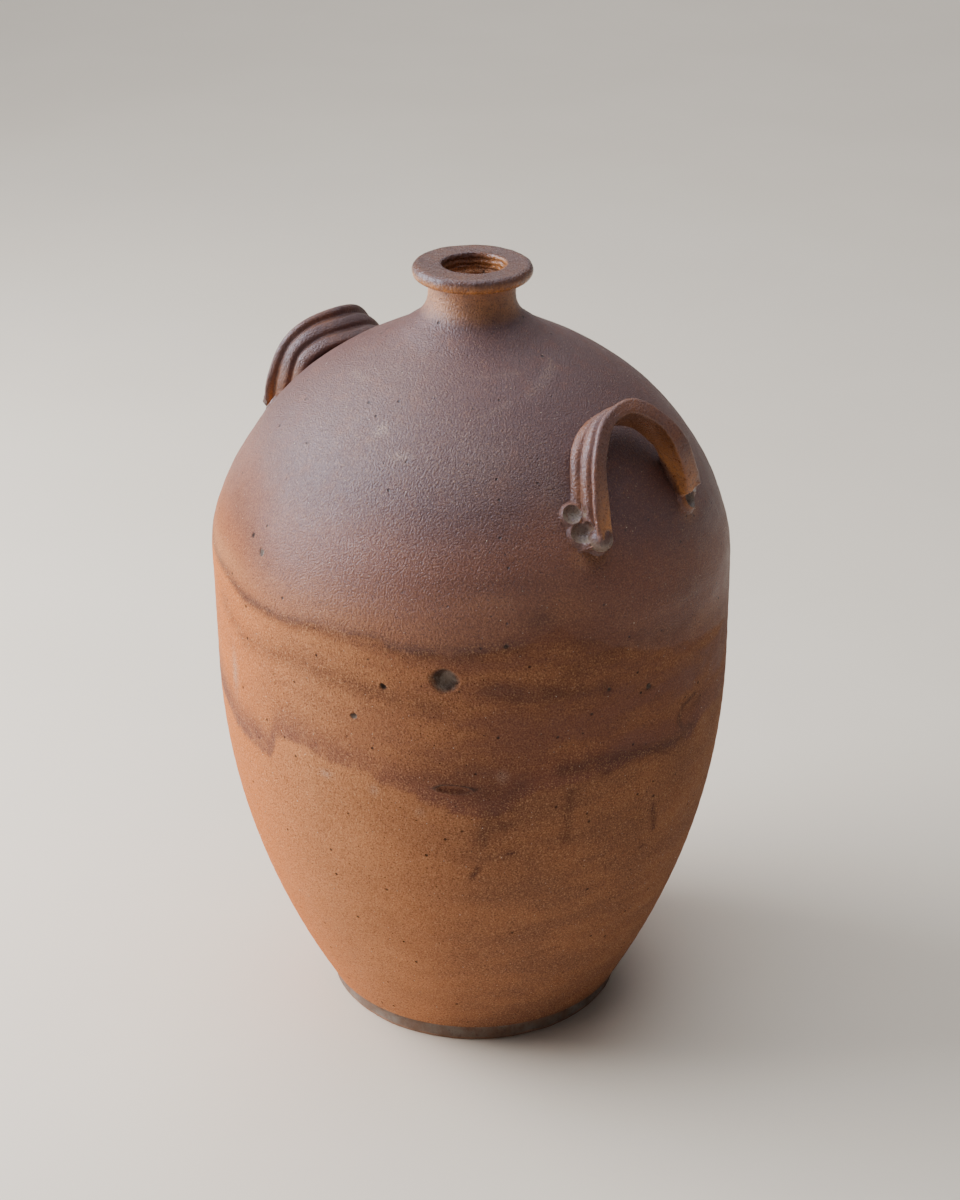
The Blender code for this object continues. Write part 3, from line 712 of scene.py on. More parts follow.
def turn_piece(name, rows, material, tree, columns, pitch, lump, seed):
    """Piece turned from its rows, which are (point, wobble, ring depth, offset, ripple)."""
    mesh = bpy.data.meshes.new(name)
    mesh.from_pydata([(row[0].x, 0.0, row[0].y) for row in rows], [], [])
    values = {
        "wobble": [row[1] for row in rows],
        "rings": [row[2] for row in rows],
        "sway": [sway_at(row[0].y) + row[3] for row in rows],
        "ripple": [row[4] for row in rows],
    }
    for label, numbers in values.items():
        mesh.attributes.new(label, "FLOAT", "POINT").data.foreach_set("value", numbers)
    obj = new_object(name, mesh)
    run_tree(obj, tree, **{
        "Columns": columns,
        "Ring Pitch": pitch,
        "Sway Angle": FRONT_ANGLE + math.pi / 2,
        "Lump Size": lump,
        "Seed": seed,
        "Clay": material,
    })
    for label in values:
        found = obj.data.attributes.get(label)
        if found:
            obj.data.attributes.remove(found)
    obj.data.set_sharp_from_angle(angle=SHARP_EDGE)
    return obj


def mesh_points(mesh):
    points = np.empty(len(mesh.vertices) * 3)
    mesh.vertices.foreach_get("co", points)
    return points.reshape(-1, 3)


def mesh_normals(mesh):
    normals = np.empty(len(mesh.vertices) * 3)
    mesh.vertex_normals.foreach_get("vector", normals)
    return normals.reshape(-1, 3)


def keep_points(mesh, points):
    mesh.vertices.foreach_set("co", points.ravel())
    mesh.update()


def paint(mesh, label, values):
    """Keeps one number a vertex, for the glaze to read."""
    attribute = mesh.attributes.new(label, "FLOAT", "POINT")
    attribute.data.foreach_set("value", np.asarray(values, np.float32))


def split_finer(mesh, centres, reach, cuts):
    """Splits the faces round each centre, so that small marks can be pressed there."""
    work = bmesh.new()
    work.from_mesh(mesh)
    edges = []
    for edge in work.edges:
        middle = (edge.verts[0].co + edge.verts[1].co) / 2
        if any((middle - centre).length < size for centre, size in zip(centres, reach)):
            edges.append(edge)
    bmesh.ops.subdivide_edges(work, edges=edges, cuts=cuts, use_grid_fill=True)
    work.to_mesh(mesh)
    work.free()


def wall_point(outline, turn_share, height_share):
    """Point on the outer wall, and the wall's outward normal there."""
    angle = FRONT_ANGLE + turn_share * math.tau
    height = height_share * RIM_TOP
    radius = wall_radius(outline, height)
    east, north = sway_shift(height)
    point = Vector((radius * math.cos(angle) + east, radius * math.sin(angle) + north, height))
    return point, direction(angle, wall_slope(outline, height))


def waves(points, size, seed):
    """Smooth uneven values from -1 to 1 at the points, in lumps of about the given size."""
    random = np.random.default_rng(seed)
    total = np.zeros(len(points))
    for _ in range(7):
        way = random.normal(size=3)
        way *= math.tau / (size * np.linalg.norm(way) * random.uniform(1.2, 2.6))
        total += np.sin(points @ way + random.uniform(0, math.tau))
    return total / 7 ** 0.5 / 1.6


def press_dent(mesh, centre, normal, across, up, depth, lip, seed):
    """Presses a ragged oval dent with a raised lip into the mesh."""
    points = mesh_points(mesh)
    offset = points - np.array(centre)
    normal = np.array(normal)
    side = np.cross((0.0, 0.0, 1.0), normal)
    side /= np.linalg.norm(side)
    climb = np.cross(normal, side)
    high = offset @ normal
    near = (np.abs(high) < across + up) & (np.linalg.norm(offset, axis=1) < 3 * (across + up))
    spread = np.hypot(offset @ side / across, offset @ climb / up)
    spread = spread + 0.24 * waves(points, (across + up) / 2, seed)
    bowl = np.clip(1 - spread, 0, 1) ** 0.7
    bowl = bowl * (1 + 0.35 * waves(points, (across + up) / 3, seed + 1))
    ridge = np.exp(-((spread - 1.12) / 0.16) ** 2)
    shift = (lip * ridge - depth * bowl) * near
    keep_points(mesh, points + shift[:, None] * normal)
    return np.clip(bowl * 2.2, 0, 1) * near, ridge * near


def press_ball(mesh, centre, radius, lip, outwards):
    """Presses a ball into the mesh, which rises in a soft lip round it."""
    points = mesh_points(mesh)
    offset = points - np.array(centre)
    reach = np.linalg.norm(offset, axis=1)
    inside = reach < radius
    points[inside] = np.array(centre) + offset[inside] * (radius / reach[inside])[:, None]
    ridge = np.exp(-((reach - radius * 1.10) / (radius * 0.12)) ** 2) * ~inside
    points += (lip * ridge)[:, None] * np.array(outwards)
    keep_points(mesh, points)


def turn_from_front(points):
    """Share of a turn from the front, from -0.5 to 0.5, for points on the jar."""
    angle = np.arctan2(points[:, 1], points[:, 0]) - FRONT_ANGLE
    return (angle / math.tau + 0.5) % 1.0 - 0.5


def soft_spots(points, table):
    """Sum of the soft spots of a table at the points."""
    turn = turn_from_front(points)
    height = points[:, 2] / RIM_TOP
    total = np.zeros(len(points))
    for at_turn, at_height, wide, high, strength in table:
        across = ((turn - at_turn + 0.5) % 1.0 - 0.5) / wide
        total += strength * np.exp(-across ** 2 - ((height - at_height) / high) ** 2)
    return np.minimum(total, 1.0)


def stroke_marks(points, table):
    """Strength of a table's line marks at the points, such as the flame's marks and the painted
    shadow inside the right handle's arch, as lines with soft sides.
    """
    turn = turn_from_front(points)
    girth = math.tau * BELLY_RADIUS / RIM_TOP
    place = np.stack((turn * girth, points[:, 2] / RIM_TOP), axis=1)
    total = np.zeros(len(points))
    for turn_a, height_a, turn_b, height_b, wide, strength in table:
        start = np.array((turn_a * girth, height_a))
        way = np.array((turn_b * girth, height_b)) - start
        along = np.clip((place - start) @ way / (way @ way), 0, 1)
        reach = np.linalg.norm(place - start - along[:, None] * way, axis=1) / wide
        total = np.maximum(total, strength * np.exp(-reach ** 2))
    return total


def paint_wall(mesh):
    """Paints the fire's marks on the wall, blush, band, haze, smoke and rust, with painted shade
    and light: browner clay away from the window, warmer clay on its side, a shadow inside the right
    handle's arch and sheen over the top of the shoulder.
    """
    points = mesh_points(mesh)
    turn = turn_from_front(points)
    height = points[:, 2]
    level = {}
    for label, table in (("blush", BLUSH_EDGE_SHARES), ("band", BAND_EDGE_SHARES)):
        level[label] = height - share_at(turn, table) * RIM_TOP
        paint(mesh, label, level[label])
    paint(mesh, "band_strength", share_at(turn, BAND_STRENGTH_SHARES))
    above_band = np.clip(level["band"] / HAZE_SOFT, 0, 1)
    paint(mesh, "haze", share_at(turn, BAND_STRENGTH_SHARES, 2) * above_band)
    # Painted shade: the bare clay browner on the side away from the window
    paint(mesh, "shaded_side", share_at(turn, PAINTED_SHADE_AND_LIGHT_SHARES))
    # Painted light: a warmer clay colour on the window side, fading out up the wall
    lowered = np.clip((LIT_SIDE_TOP_SHARE - height / RIM_TOP) / LIT_SIDE_FADE_SHARE, 0, 1)
    paint(mesh, "lit_side", share_at(turn, PAINTED_SHADE_AND_LIGHT_SHARES, 2) * lowered)
    # Smoke of the flame and drips, with a painted shadow inside the right handle's arch
    marks = np.maximum(stroke_marks(points, STROKE_SHARES), soft_spots(points, SMUDGE_SHARES))
    paint(mesh, "smoke_and_shade", marks)
    # Pale scrapes and scratches, with pale dust and painted sheen over the top of the shoulder
    pale_and_sheen = np.maximum(soft_spots(points, SCRAPE_AND_SHEEN_SHARES), stroke_marks(points, SCRATCH_SHARES))
    paint(mesh, "pale_marks_and_sheen", pale_and_sheen)
    collar = np.clip(((height - NECK_FOOT_HEIGHT) / NECK_RISE - 0.36) / 0.24, 0, 1)
    paint(mesh, "rust", np.maximum(collar, soft_spots(points, RUST_SPOT_SHARES)))


def noise_value(tree, vector, size, detail, roughness):
    """Noise from 0 to 1 whose lumps are about the given size."""
    feeds = {"Vector": vector, "Scale": 1 / size, "Detail": detail, "Roughness": roughness}
    return add_node(tree, "ShaderNodeTexNoise", feeds).outputs[0]


def salt_peel(tree, vector):
    """Height of the salt's skin, which is dimpled like an orange's peel."""
    feeds = {"Vector": vector, "Scale": 1 / PEEL}
    return add_node(tree, "ShaderNodeTexVoronoi", feeds).outputs["Distance"]


def mix_colour(tree, share, first, second):
    feeds = {0: share}
    for key, value in ((6, first), (7, second)):
        feeds[key] = (*value, 1.0) if isinstance(value, tuple) else value
    return add_node(tree, "ShaderNodeMix", feeds, data_type="RGBA").outputs[2]


def lay_over(tree, colour, layers):
    """Lays layers of (share, colour) over a colour, each over the last."""
    for share, layer in layers:
        colour = mix_colour(tree, share, colour, layer)
    return colour


def spots(tree, vector, spacing, size, share):
    """Small round spots: 1 inside a spot, in this share of the cells of the given spacing."""
    feeds = {"Vector": vector, "Scale": 1 / spacing, "Randomness": 1.0}
    cells = add_node(tree, "ShaderNodeTexVoronoi", feeds)
    radius = size / spacing
    lit = spread_over(tree, cells.outputs["Distance"], radius, radius * 0.45)
    chance = add_node(tree, "ShaderNodeSeparateColor", {0: cells.outputs["Color"]}).outputs[0]
    return times(tree, lit, calculate(tree, "LESS_THAN", chance, share))


def read_mark(tree, label):
    return add_node(tree, "ShaderNodeAttribute", attribute_name=label).outputs["Fac"]


def patchy_mark(tree, label, noise, low, high, weakest, strongest=1.0):
    """A painted mark, whose strength follows a noise from the weakest to the strongest."""
    return times(tree, read_mark(tree, label),
                 spread_over(tree, noise, low, high, weakest, strongest))


def new_clay(name):
    """Empty material with its object coordinates and its shader."""
    material = bpy.data.materials.new(name)
    material.use_nodes = True
    tree = material.node_tree
    shader = tree.nodes["Principled BSDF"]
    vector = tree.nodes.new("ShaderNodeTexCoord").outputs["Object"]
    return material, tree, shader, vector


def rough_skin(tree, shader, layers):
    """Chains bumps of (height, depth) onto the shader, the coarsest first."""
    normal = None
    for height, depth in layers:
        feeds = {"Height": height, "Strength": 1.0, "Distance": abs(depth)}
        if normal is not None:
            feeds["Normal"] = normal
        normal = add_node(tree, "ShaderNodeBump", feeds, invert=depth < 0).outputs[0]
    tree.links.new(normal, shader.inputs["Normal"])


def fired_wall(name):
    """Salted wall: bare orange clay below, red brown to plum above, specks and pinholes."""
    material, tree, shader, vector = new_clay(name)
    feeds = {"Vector": vector, "Scale": (1.0, 1.0, STREAK_SQUASH)}
    drawn = add_node(tree, "ShaderNodeMapping", feeds).outputs[0]
    patch = noise_value(tree, vector, BROAD_MOTTLE, 4.0, 0.55)
    broad = noise_value(tree, drawn, BROAD_MOTTLE, 4.0, 0.55)
    fine = noise_value(tree, drawn, FINE_MOTTLE, 5.0, 0.62)
    cloud = noise_value(tree, vector, FINE_MOTTLE, 4.0, 0.60)
    speckle = noise_value(tree, vector, SPECKLE, 2.0, 0.65)
    notched = times(tree, calculate(tree, "SUBTRACT", cloud, 0.5), RAGGED_FINE)
    uneven = calculate(tree, "SUBTRACT", broad, 0.5)
    ragged = calculate(tree, "MULTIPLY_ADD", uneven, RAGGED_BROAD, notched)
    above_edge = read_mark(tree, "blush")
    lit_side = read_mark(tree, "lit_side")

    # Bare clay, painted warmer where the window lights it and browner, as painted shade, away from
    # it
    bare = lay_over(tree, BARE_LIGHT, (
        (spread_over(tree, patch, 0.35, 0.72, 0.0, 0.75), BARE_DEEP),
        (spread_over(tree, cloud, 0.45, 0.70, 0.0, 0.25), BARE_DEEP),
        (lit_side, BARE_LIT_WARM),
        (patchy_mark(tree, "shaded_side", broad, 0.30, 0.70, 0.75, 1.15), BARE_SHADED),
    ))
    # Salt glaze, painted darker on the window side, as painted shade
    salt = lay_over(tree, SALT_RUST, (
        (spread_over(tree, above_edge, BLUSH_FALL, PLUM_RISE), SALT_PLUM),
        (spread_over(tree, cloud, 0.50, 0.72, 0.0, 0.35), SALT_RUST),
        (spread_over(tree, lit_side, 0.0, 1.0, 0.0, 0.45), BAND_PLUM),
    ))
    blush = plus(tree, above_edge, ragged)
    over = plus(tree, spread_over(tree, blush, -EDGE_SOFT, EDGE_SOFT, 0.0, 0.50),
                spread_over(tree, blush, 0.0, BLUSH_FALL, 0.0, 0.50))
    haze = patchy_mark(tree, "haze", broad, 0.34, 0.66, 0.5, 1.7)
    amount = greatest(tree, over, haze)
    band = plus(tree, read_mark(tree, "band"), ragged)
    banded = times(tree, spread_over(tree, band, -BAND_SOFT, BAND_SOFT),
                   spread_over(tree, band, BAND_THICK, BAND_HAZE, 1.0, 0.0))
    banded = times(tree, banded, patchy_mark(tree, "band_strength", cloud, 0.32, 0.60, 0.55))

    light_grain = times(tree, spread_over(tree, speckle, 0.52, 0.72, 0.0, 0.50),
                        spread_over(tree, amount, 0.0, 0.9, 1.0, 0.40))
    holes = greatest(tree, spots(tree, vector, PINHOLE_SPACING, PINHOLE, 0.60),
                     spots(tree, vector, PINPRICK_SPACING, PINPRICK, 0.50),
                     spots(tree, vector, PIN_DENT_SPACING, PIN_DENT, 0.30))
    crumbs = spots(tree, vector, CRUMB_SPACING, CRUMB, 0.45)
    broken_and_shaded = read_mark(tree, "broken_and_shaded")
    inside = mix_colour(tree, spread_over(tree, cloud, 0.46, 0.66), BROKEN_DARK, BROKEN_GREY)
    colour = lay_over(tree, bare, (
        (amount, salt),
        (banded, BAND_PLUM),
        # Smoke, and the painted shadow inside the right handle's arch
        (patchy_mark(tree, "smoke_and_shade", fine, 0.28, 0.56, 0.40), SMOKE_AND_SHADE_DARK),
        (patchy_mark(tree, "rust", cloud, 0.32, 0.62, 0.62), NECK_RUST),
        # Pale scrapes, and pale dust with painted sheen over the top of the shoulder
        (patchy_mark(tree, "pale_marks_and_sheen", speckle, 0.38, 0.60, 0.2), PALE_SCRAPE_AND_SHEEN),
        (spread_over(tree, speckle, 0.50, 0.32, 0.0, 0.60), SMOKE_AND_SHADE_DARK),
        (light_grain, BARE_CRUMB),
        (times(tree, holes, 0.88), GRAIN_IRON),
        (times(tree, crumbs, 0.55), GRAIN_PALE),
        # Broken clay, and painted shade along the scar's upper lip
        (times(tree, broken_and_shaded, 0.95), inside),
    ))

    glazed = greatest(tree, over, times(tree, haze, 0.45), times(tree, banded, 0.35))
    glazed = times(tree, glazed, spread_over(tree, lit_side, 0.0, 1.0, 1.0, 0.20))
    roughness = plus(tree, spread_over(tree, glazed, 0.0, 1.0, 0.78, 0.44),
                     spread_over(tree, cloud, 0.3, 0.7, -0.05, 0.06))
    feed(tree, shader, {
        "Base Color": colour,
        "Roughness": greatest(tree, roughness, times(tree, broken_and_shaded, 0.85)),
        "Specular IOR Level": spread_over(tree, glazed, 0.0, 1.0, 0.10, 0.64),
        "Specular Tint": SKY_TINT,
    })
    rough_skin(tree, shader, (
        (times(tree, holes, -1.0), PINHOLE_DEPTH),
        (salt_peel(tree, vector), -PEEL_DEPTH),
        (speckle, GRAIN_DEPTH),
    ))
    return material


def fired_brown(name, plum, rust, roughness):
    """Brown glaze of the ring and the handles, worn to bright orange where painted so, with painted
    shade in the thumb marks, under the arch and in the bore.
    """
    material, tree, shader, vector = new_clay(name)
    broad = noise_value(tree, vector, BROAD_MOTTLE / 3, 4.0, 0.55)
    fine = noise_value(tree, vector, FINE_MOTTLE / 3, 4.0, 0.62)
    speckle = noise_value(tree, vector, SPECKLE, 2.0, 0.60)
    holes = spots(tree, vector, PINPRICK_SPACING, PINPRICK, 0.6)
    feed(tree, shader, {
        "Base Color": lay_over(tree, plum, (
            (spread_over(tree, broad, 0.35, 0.68), rust),
            (spread_over(tree, fine, 0.52, 0.72, 0.0, 0.45), SMOKE_AND_SHADE_DARK),
            (patchy_mark(tree, "rust", fine, 0.28, 0.62, 0.45), RUST_BRIGHT),
            # Painted shade: upper part of the thumb marks, under the top of the arch, and in the
            # bore
            (patchy_mark(tree, "smoke_and_shade", fine, 0.20, 0.55, 0.5), SMOKE_AND_SHADE_DARK),
            (patchy_mark(tree, "pale_marks_and_sheen", fine, 0.30, 0.62, 0.35), ASH_OLIVE),
            (spread_over(tree, speckle, 0.50, 0.34, 0.0, 0.55), SMOKE_AND_SHADE_DARK),
            (spread_over(tree, speckle, 0.56, 0.74, 0.0, 0.14), BARE_CRUMB),
            (times(tree, holes, 0.8), GRAIN_IRON),
        )),
        "Roughness": spread_over(tree, fine, 0.30, 0.70, roughness - 0.08, roughness + 0.10),
        "Specular IOR Level": 0.62,
        "Specular Tint": SKY_TINT,
    })
    rough_skin(tree, shader, (
        (fine, PINHOLE_DEPTH / 2),
        (salt_peel(tree, vector), -PEEL_DEPTH * 0.8),
        (speckle, GRAIN_DEPTH * 0.7),
    ))
    return material


def rubbed_foot(name):
    """Foot slab: grey brown and unglazed, rubbed rough, with orange clay at its lower edge."""
    material, tree, shader, vector = new_clay(name)
    broad = noise_value(tree, vector, FOOT_PATCH, 5.0, 0.60)
    fine = noise_value(tree, vector, FOOT_GRAIN, 4.0, 0.65)
    height = add_node(tree, "ShaderNodeSeparateXYZ", {0: vector}).outputs["Z"]
    uneven = times(tree, calculate(tree, "SUBTRACT", broad, 0.5), FOOT_ORANGE_RAGGED)
    low = plus(tree, height, uneven)
    feed(tree, shader, {
        "Base Color": lay_over(tree, FOOT_GREY, (
            (spread_over(tree, broad, 0.35, 0.65), FOOT_BROWN),
            (spread_over(tree, fine, 0.52, 0.72, 0.0, 0.5), SMOKE_AND_SHADE_DARK),
            (spread_over(tree, low, FOOT_ORANGE_TOP, FOOT_ORANGE_FULL, 0.0, 0.45), BARE_DEEP),
        )),
        "Roughness": 0.88,
    })
    rough_skin(tree, shader, ((broad, FOOT_PATCH_DEPTH), (fine, FOOT_GRAIN_DEPTH)))
    return material


def plain_floor_finish(name):
    """Plain pale floor, barely uneven in tone."""
    material, tree, shader, vector = new_clay(name)
    tone = spread_over(tree, noise_value(tree, vector, FLOOR_PATCH, 3.0, 0.5), 0.3, 0.7, 0.0, 0.3)
    colour = mix_colour(tree, tone, FLOOR_PALE, FLOOR_TONE)
    feed(tree, shader, {"Base Color": colour, "Roughness": 0.55})
    return material


def grit_tree():
    """Geometry nodes that scatter half-sunk grains of sand over a wall."""
    tree, given = new_tree("kiln_grit", {
        "Wall": "Geometry", "Grains per Area": "Float", "Grain Size": "Float", "Seed": "Int",
        "Clay": "Material",
    }, "Grains")
    outer = add_node(tree, "GeometryNodeInputNamedAttribute", {"Name": "outer"}, data_type="FLOAT")
    dense = times(tree, given["Grains per Area"], outer.outputs["Attribute"])
    feeds = {"Mesh": given["Wall"], "Density": dense, "Seed": given["Seed"]}
    scattered = add_node(tree, "GeometryNodeDistributePointsOnFaces", feeds)
    feeds = {"Radius": given["Grain Size"], "Subdivisions": 1}
    grain = add_node(tree, "GeometryNodeMeshIcoSphere", feeds)
    feeds = {2: 0.45, 3: 1.0, "Seed": given["Seed"]}
    size = add_node(tree, "FunctionNodeRandomValue", feeds, data_type="FLOAT").outputs[1]
    flattened = {0: size, 1: size, 2: times(tree, size, 0.55)}
    feeds = {
        "Points": scattered.outputs["Points"],
        "Instance": grain.outputs["Mesh"],
        "Rotation": scattered.outputs["Rotation"],
        "Scale": add_node(tree, "ShaderNodeCombineXYZ", flattened).outputs[0],
    }
    laid = add_node(tree, "GeometryNodeInstanceOnPoints", feeds)
    return hand_over(tree, laid.outputs[0], given["Clay"], "Grains")


def grain_finish(name, colour):
    """Hard grain of sand, of an uneven tone."""
    material, tree, shader, vector = new_clay(name)
    tone = spread_over(tree, noise_value(tree, vector, GRAIN_TONE, 2.0, 0.5), 0.4, 0.6)
    dark = tuple(part * 0.5 for part in colour)
    feed(tree, shader, {"Base Color": mix_colour(tree, tone, colour, dark), "Roughness": 0.5})
    return material


def scatter_grit(name, wall, tree, density, seed, material):
    """Grains on the outer side of a wall piece."""
    obj = new_object(name, wall.data.copy())
    points = mesh_points(obj.data)
    normals = mesh_normals(obj.data)
    facing = np.einsum("ij,ij->i", points[:, :2], normals[:, :2]) + normals[:, 2] * GRAIN_TOP_REACH
    paint(obj.data, "outer", (facing > 0).astype(float))
    run_tree(obj, tree, **{
        "Grains per Area": density, "Grain Size": GRAIN_SIZE, "Seed": seed, "Clay": material,
    })
    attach(obj, "root")


def stand_for(obj, node):
    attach(obj, "root")
    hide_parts(node)


def handle_frame(outline, height, opening):
    """Seat of a handle, the way its arch rises, and the way its arch faces."""
    radius = wall_radius(outline, height)
    lean = math.pi / 2 + wall_slope(outline, height) - opening
    seat = Vector((math.sqrt(radius ** 2 - HANDLE_HALF_SPAN ** 2), 0.0, height))
    rise = Vector((math.cos(lean), 0.0, math.sin(lean)))
    face = Vector((math.sin(lean), 0.0, -math.cos(lean)))
    return seat, rise, face


def strap_stations(outline, height, opening, extra, shares):
    """Stations along the strap: centre, direction, width direction, width and thickness."""
    seat, rise, face = handle_frame(outline, height, opening)
    along = Vector((0.0, 1.0, 0.0))
    path = smooth_path([Vector(row) for row in shares], STRAP_SPAN_STEPS)
    places = []
    for side, up, out, _ in path:
        sideways = along * HANDLE_REACH * side
        places.append(seat + sideways + rise * HANDLE_RISE * up + face * HANDLE_STAND * out)
    arch = []
    last = len(path) - 1
    for index, place in enumerate(places):
        tangent = (places[min(index + 1, last)] - places[max(index - 1, 0)]).normalized()
        side, up, _, twist_share = path[index]
        turn = HANDLE_REACH * side / wall_radius(outline, height)
        twist = HANDLE_TWIST * twist_share
        width = Vector((
            math.sin(twist) * math.cos(turn),
            math.sin(twist) * math.sin(turn),
            -math.cos(twist),
        ))
        width = (width - tangent * width.dot(tangent)).normalized()
        spread = STRAP_WIDTH * (1 + (ROOT_SPREAD_SHARE - 1) * max(1 - up * 2, 0))
        swell = STRAP_THICKNESS * (1 + (ROOT_THICK_SHARE - 1) * max(1 - up, 0))
        widening = extra * min(max(up, 0) * 2, 1)
        place = place - width * widening / 2
        arch.append((place, tangent, width, spread + widening, swell))
    return strap_root(arch[0], -1) + arch + strap_root(arch[-1], 1)


def strap_root(end, way):
    """Stations that carry the strap on past an end, into the wall."""
    place, tangent, width, spread, swell = end
    root = []
    for step in range(1, ROOT_STEPS + 1):
        below = step / ROOT_STEPS
        taper = ROOT_TAPER_SHARE * below ** 2
        centre = place + tangent * way * ROOT_DROP * below
        centre -= width * spread * taper / 2
        root.append((centre, tangent, width, spread * (1 - taper), swell))
    return root[::way]


def strap_mesh(stations, seed):
    """Ridged strap lofted along its stations, with a rounded, slightly uneven section."""
    closed = [Vector(row) for row in STRAP_SHARES] + [Vector(STRAP_SHARES[0])]
    section = smooth_path(closed, 4)[:-1]
    random = np.random.default_rng(seed)
    drift = random.uniform(0, math.tau, (3, 2))
    mesh = bmesh.new()
    rings = []
    for number, (centre, tangent, width, spread, swell) in enumerate(stations):
        across_way = width * spread
        through_way = width.cross(tangent) * swell
        share = number / len(stations)
        ring = []
        for across, through in section:
            uneven = sum(
                math.sin(share * turns + across * bend + start)
                for turns, (start, bend) in zip((9.0, 17.0, 31.0), drift)
            )
            through *= 1 + STRAP_UNEVEN_SHARE * uneven
            ring.append(mesh.verts.new(centre + across_way * across + through_way * through))
        rings.append(ring)
    count = len(section)
    for low, high in zip(rings, rings[1:]):
        for index in range(count):
            following = (index + 1) % count
            mesh.faces.new((low[index], low[following], high[following], high[index]))
    mesh.faces.new(list(reversed(rings[0])))
    mesh.faces.new(rings[-1])
    return mesh


def thumb_places(outline, height):
    """Wall point, outward normal and pressing direction of every thumb mark."""
    places = []
    for side in (-1, 1):
        foot_angle = side * math.asin(HANDLE_REACH / wall_radius(outline, height))
        for away, up in THUMB_SHARES:
            level = height + PAD_RADIUS * up
            radius = wall_radius(outline, level)
            angle = foot_angle + side * PAD_RADIUS * away / radius
            point = Vector((radius * math.cos(angle), radius * math.sin(angle), level))
            normal = direction(angle, wall_slope(outline, level))
            sideways = Vector((-math.sin(angle), math.cos(angle), 0.0)) * side
            press = (normal + sideways * math.tan(THUMB_TILT)).normalized()
            places.append((point, normal, press))
    return places


def add_pad(mesh, centre, axis):
    """Adds a flattened ball of clay, with its short axis along the given direction."""
    turn = Vector((0.0, 0.0, 1.0)).rotation_difference(axis).to_matrix().to_4x4()
    size = Matrix.Diagonal((PAD_RADIUS, PAD_RADIUS, PAD_HEIGHT, 1.0))
    matrix = Matrix.Translation(centre) @ turn @ size
    bmesh.ops.create_uvsphere(mesh, u_segments=32, v_segments=16, radius=1.0, matrix=matrix)


def add_seat(mesh, outline, height, side):
    """Adds a patch just under the wall's skin round a foot, for the clay to run out onto."""
    foot_angle = side * math.asin(HANDLE_REACH / wall_radius(outline, height))
    last = SEAT_STEPS
    layers = []
    for depth in (0.0, SEAT_DEPTH):
        layer = []
        for row in range(last + 1):
            up = row / last * 2 - 1
            level = height + SEAT_REACH * up
            radius = wall_radius(outline, level)
            slope = wall_slope(outline, level)
            line = []
            for column in range(last + 1):
                over = column / last * 2 - 1
                angle = foot_angle + SEAT_REACH * over / radius
                sunk = SEAT_SINK + SEAT_DIP * max(abs(up), abs(over)) ** 4 + depth
                reach = radius - sunk * math.cos(slope)
                line.append(mesh.verts.new((
                    reach * math.cos(angle), reach * math.sin(angle), level - sunk * math.sin(slope)
                )))
            layer.append(line)
        layers.append(layer)
    top, under = layers
    for row in range(last):
        for column in range(last):
            mesh.faces.new((top[row][column], top[row][column + 1],
                            top[row + 1][column + 1], top[row + 1][column]))
            mesh.faces.new((under[row][column], under[row + 1][column],
                            under[row + 1][column + 1], under[row][column + 1]))
    for step in range(last):
        for low, high in (
            ((0, step), (0, step + 1)), ((last, step + 1), (last, step)),
            ((step + 1, 0), (step, 0)), ((step, last), (step + 1, last)),
        ):
            mesh.faces.new((under[low[0]][low[1]], under[high[0]][high[1]],
                            top[high[0]][high[1]], top[low[0]][low[1]]))


def soften(mesh, share, rounds):
    """Rubs a mesh smooth, by the given share at each point and in this many rounds."""
    count = len(mesh.vertices)
    edges = np.empty(len(mesh.edges) * 2, np.int64)
    mesh.edges.foreach_get("vertices", edges)
    ends = np.concatenate((edges[::2], edges[1::2]))
    others = np.concatenate((edges[1::2], edges[::2]))
    joined = np.maximum(np.bincount(ends, minlength=count), 1)
    points = mesh_points(mesh)
    for _ in range(rounds):
        middle = np.stack([
            np.bincount(ends, points[others, axis], minlength=count) / joined for axis in range(3)
        ], axis=1)
        points += (middle - points) * share[:, None]
    keep_points(mesh, points)


def proud_of_wall(points, outline):
    """How far the points stand out of the wall, measured level."""
    return np.hypot(points[:, 0], points[:, 1]) - np.interp(
        points[:, 2], [point.y for point in outline], [point.x for point in outline]
    )


def pull_handle(name, outline, height, stations, turned, material, seed):
    """Handle in one piece of clay: ridged strap, pads at its feet, and thumb marks.

    Also returns the balls that press its thumb marks, in the jar's own frame.
    """
    mesh = strap_mesh(stations, seed)
    marks = thumb_places(outline, height)
    for point, normal, _ in marks:
        add_pad(mesh, point, normal)
    for side in (-1, 1):
        add_seat(mesh, outline, height, side)
    bmesh.ops.recalc_face_normals(mesh, faces=mesh.faces)
    data = bpy.data.meshes.new(name)
    mesh.to_mesh(data)
    mesh.free()
    obj = new_object(name, data)
    remesh = obj.modifiers.new("one_clay", "REMESH")
    remesh.mode = "VOXEL"
    remesh.voxel_size = CLAY_VOXEL
    remesh.use_smooth_shade = True
    data = keep_result(obj)

    points = mesh_points(data)
    evenly = np.full(len(points), 0.5)
    soften(data, evenly, SOFTEN_ROUNDS)
    near_wall = np.clip(1 - np.abs(proud_of_wall(points, outline)) / FILLET_REACH, 0, 1)
    soften(data, near_wall ** 2 * 0.5, FILLET_ROUNDS)
    balls = []
    for point, normal, press in marks:
        centre = point + press * (THUMB_RADIUS - THUMB_SINK)
        press_ball(data, centre, THUMB_RADIUS, THUMB_LIP, normal)
        balls.append(centre)
    soften(data, evenly, LAST_SOFTEN_ROUNDS)
    spin = Matrix.Rotation(turned, 4, "Z")
    data.transform(spin)
    data.shade_smooth()
    data.materials.clear()
    data.materials.append(material)
    shift = Vector((*sway_shift(height), 0.0))
    data.transform(Matrix.Translation(shift))
    return obj, [spin @ ball + shift for ball in balls]


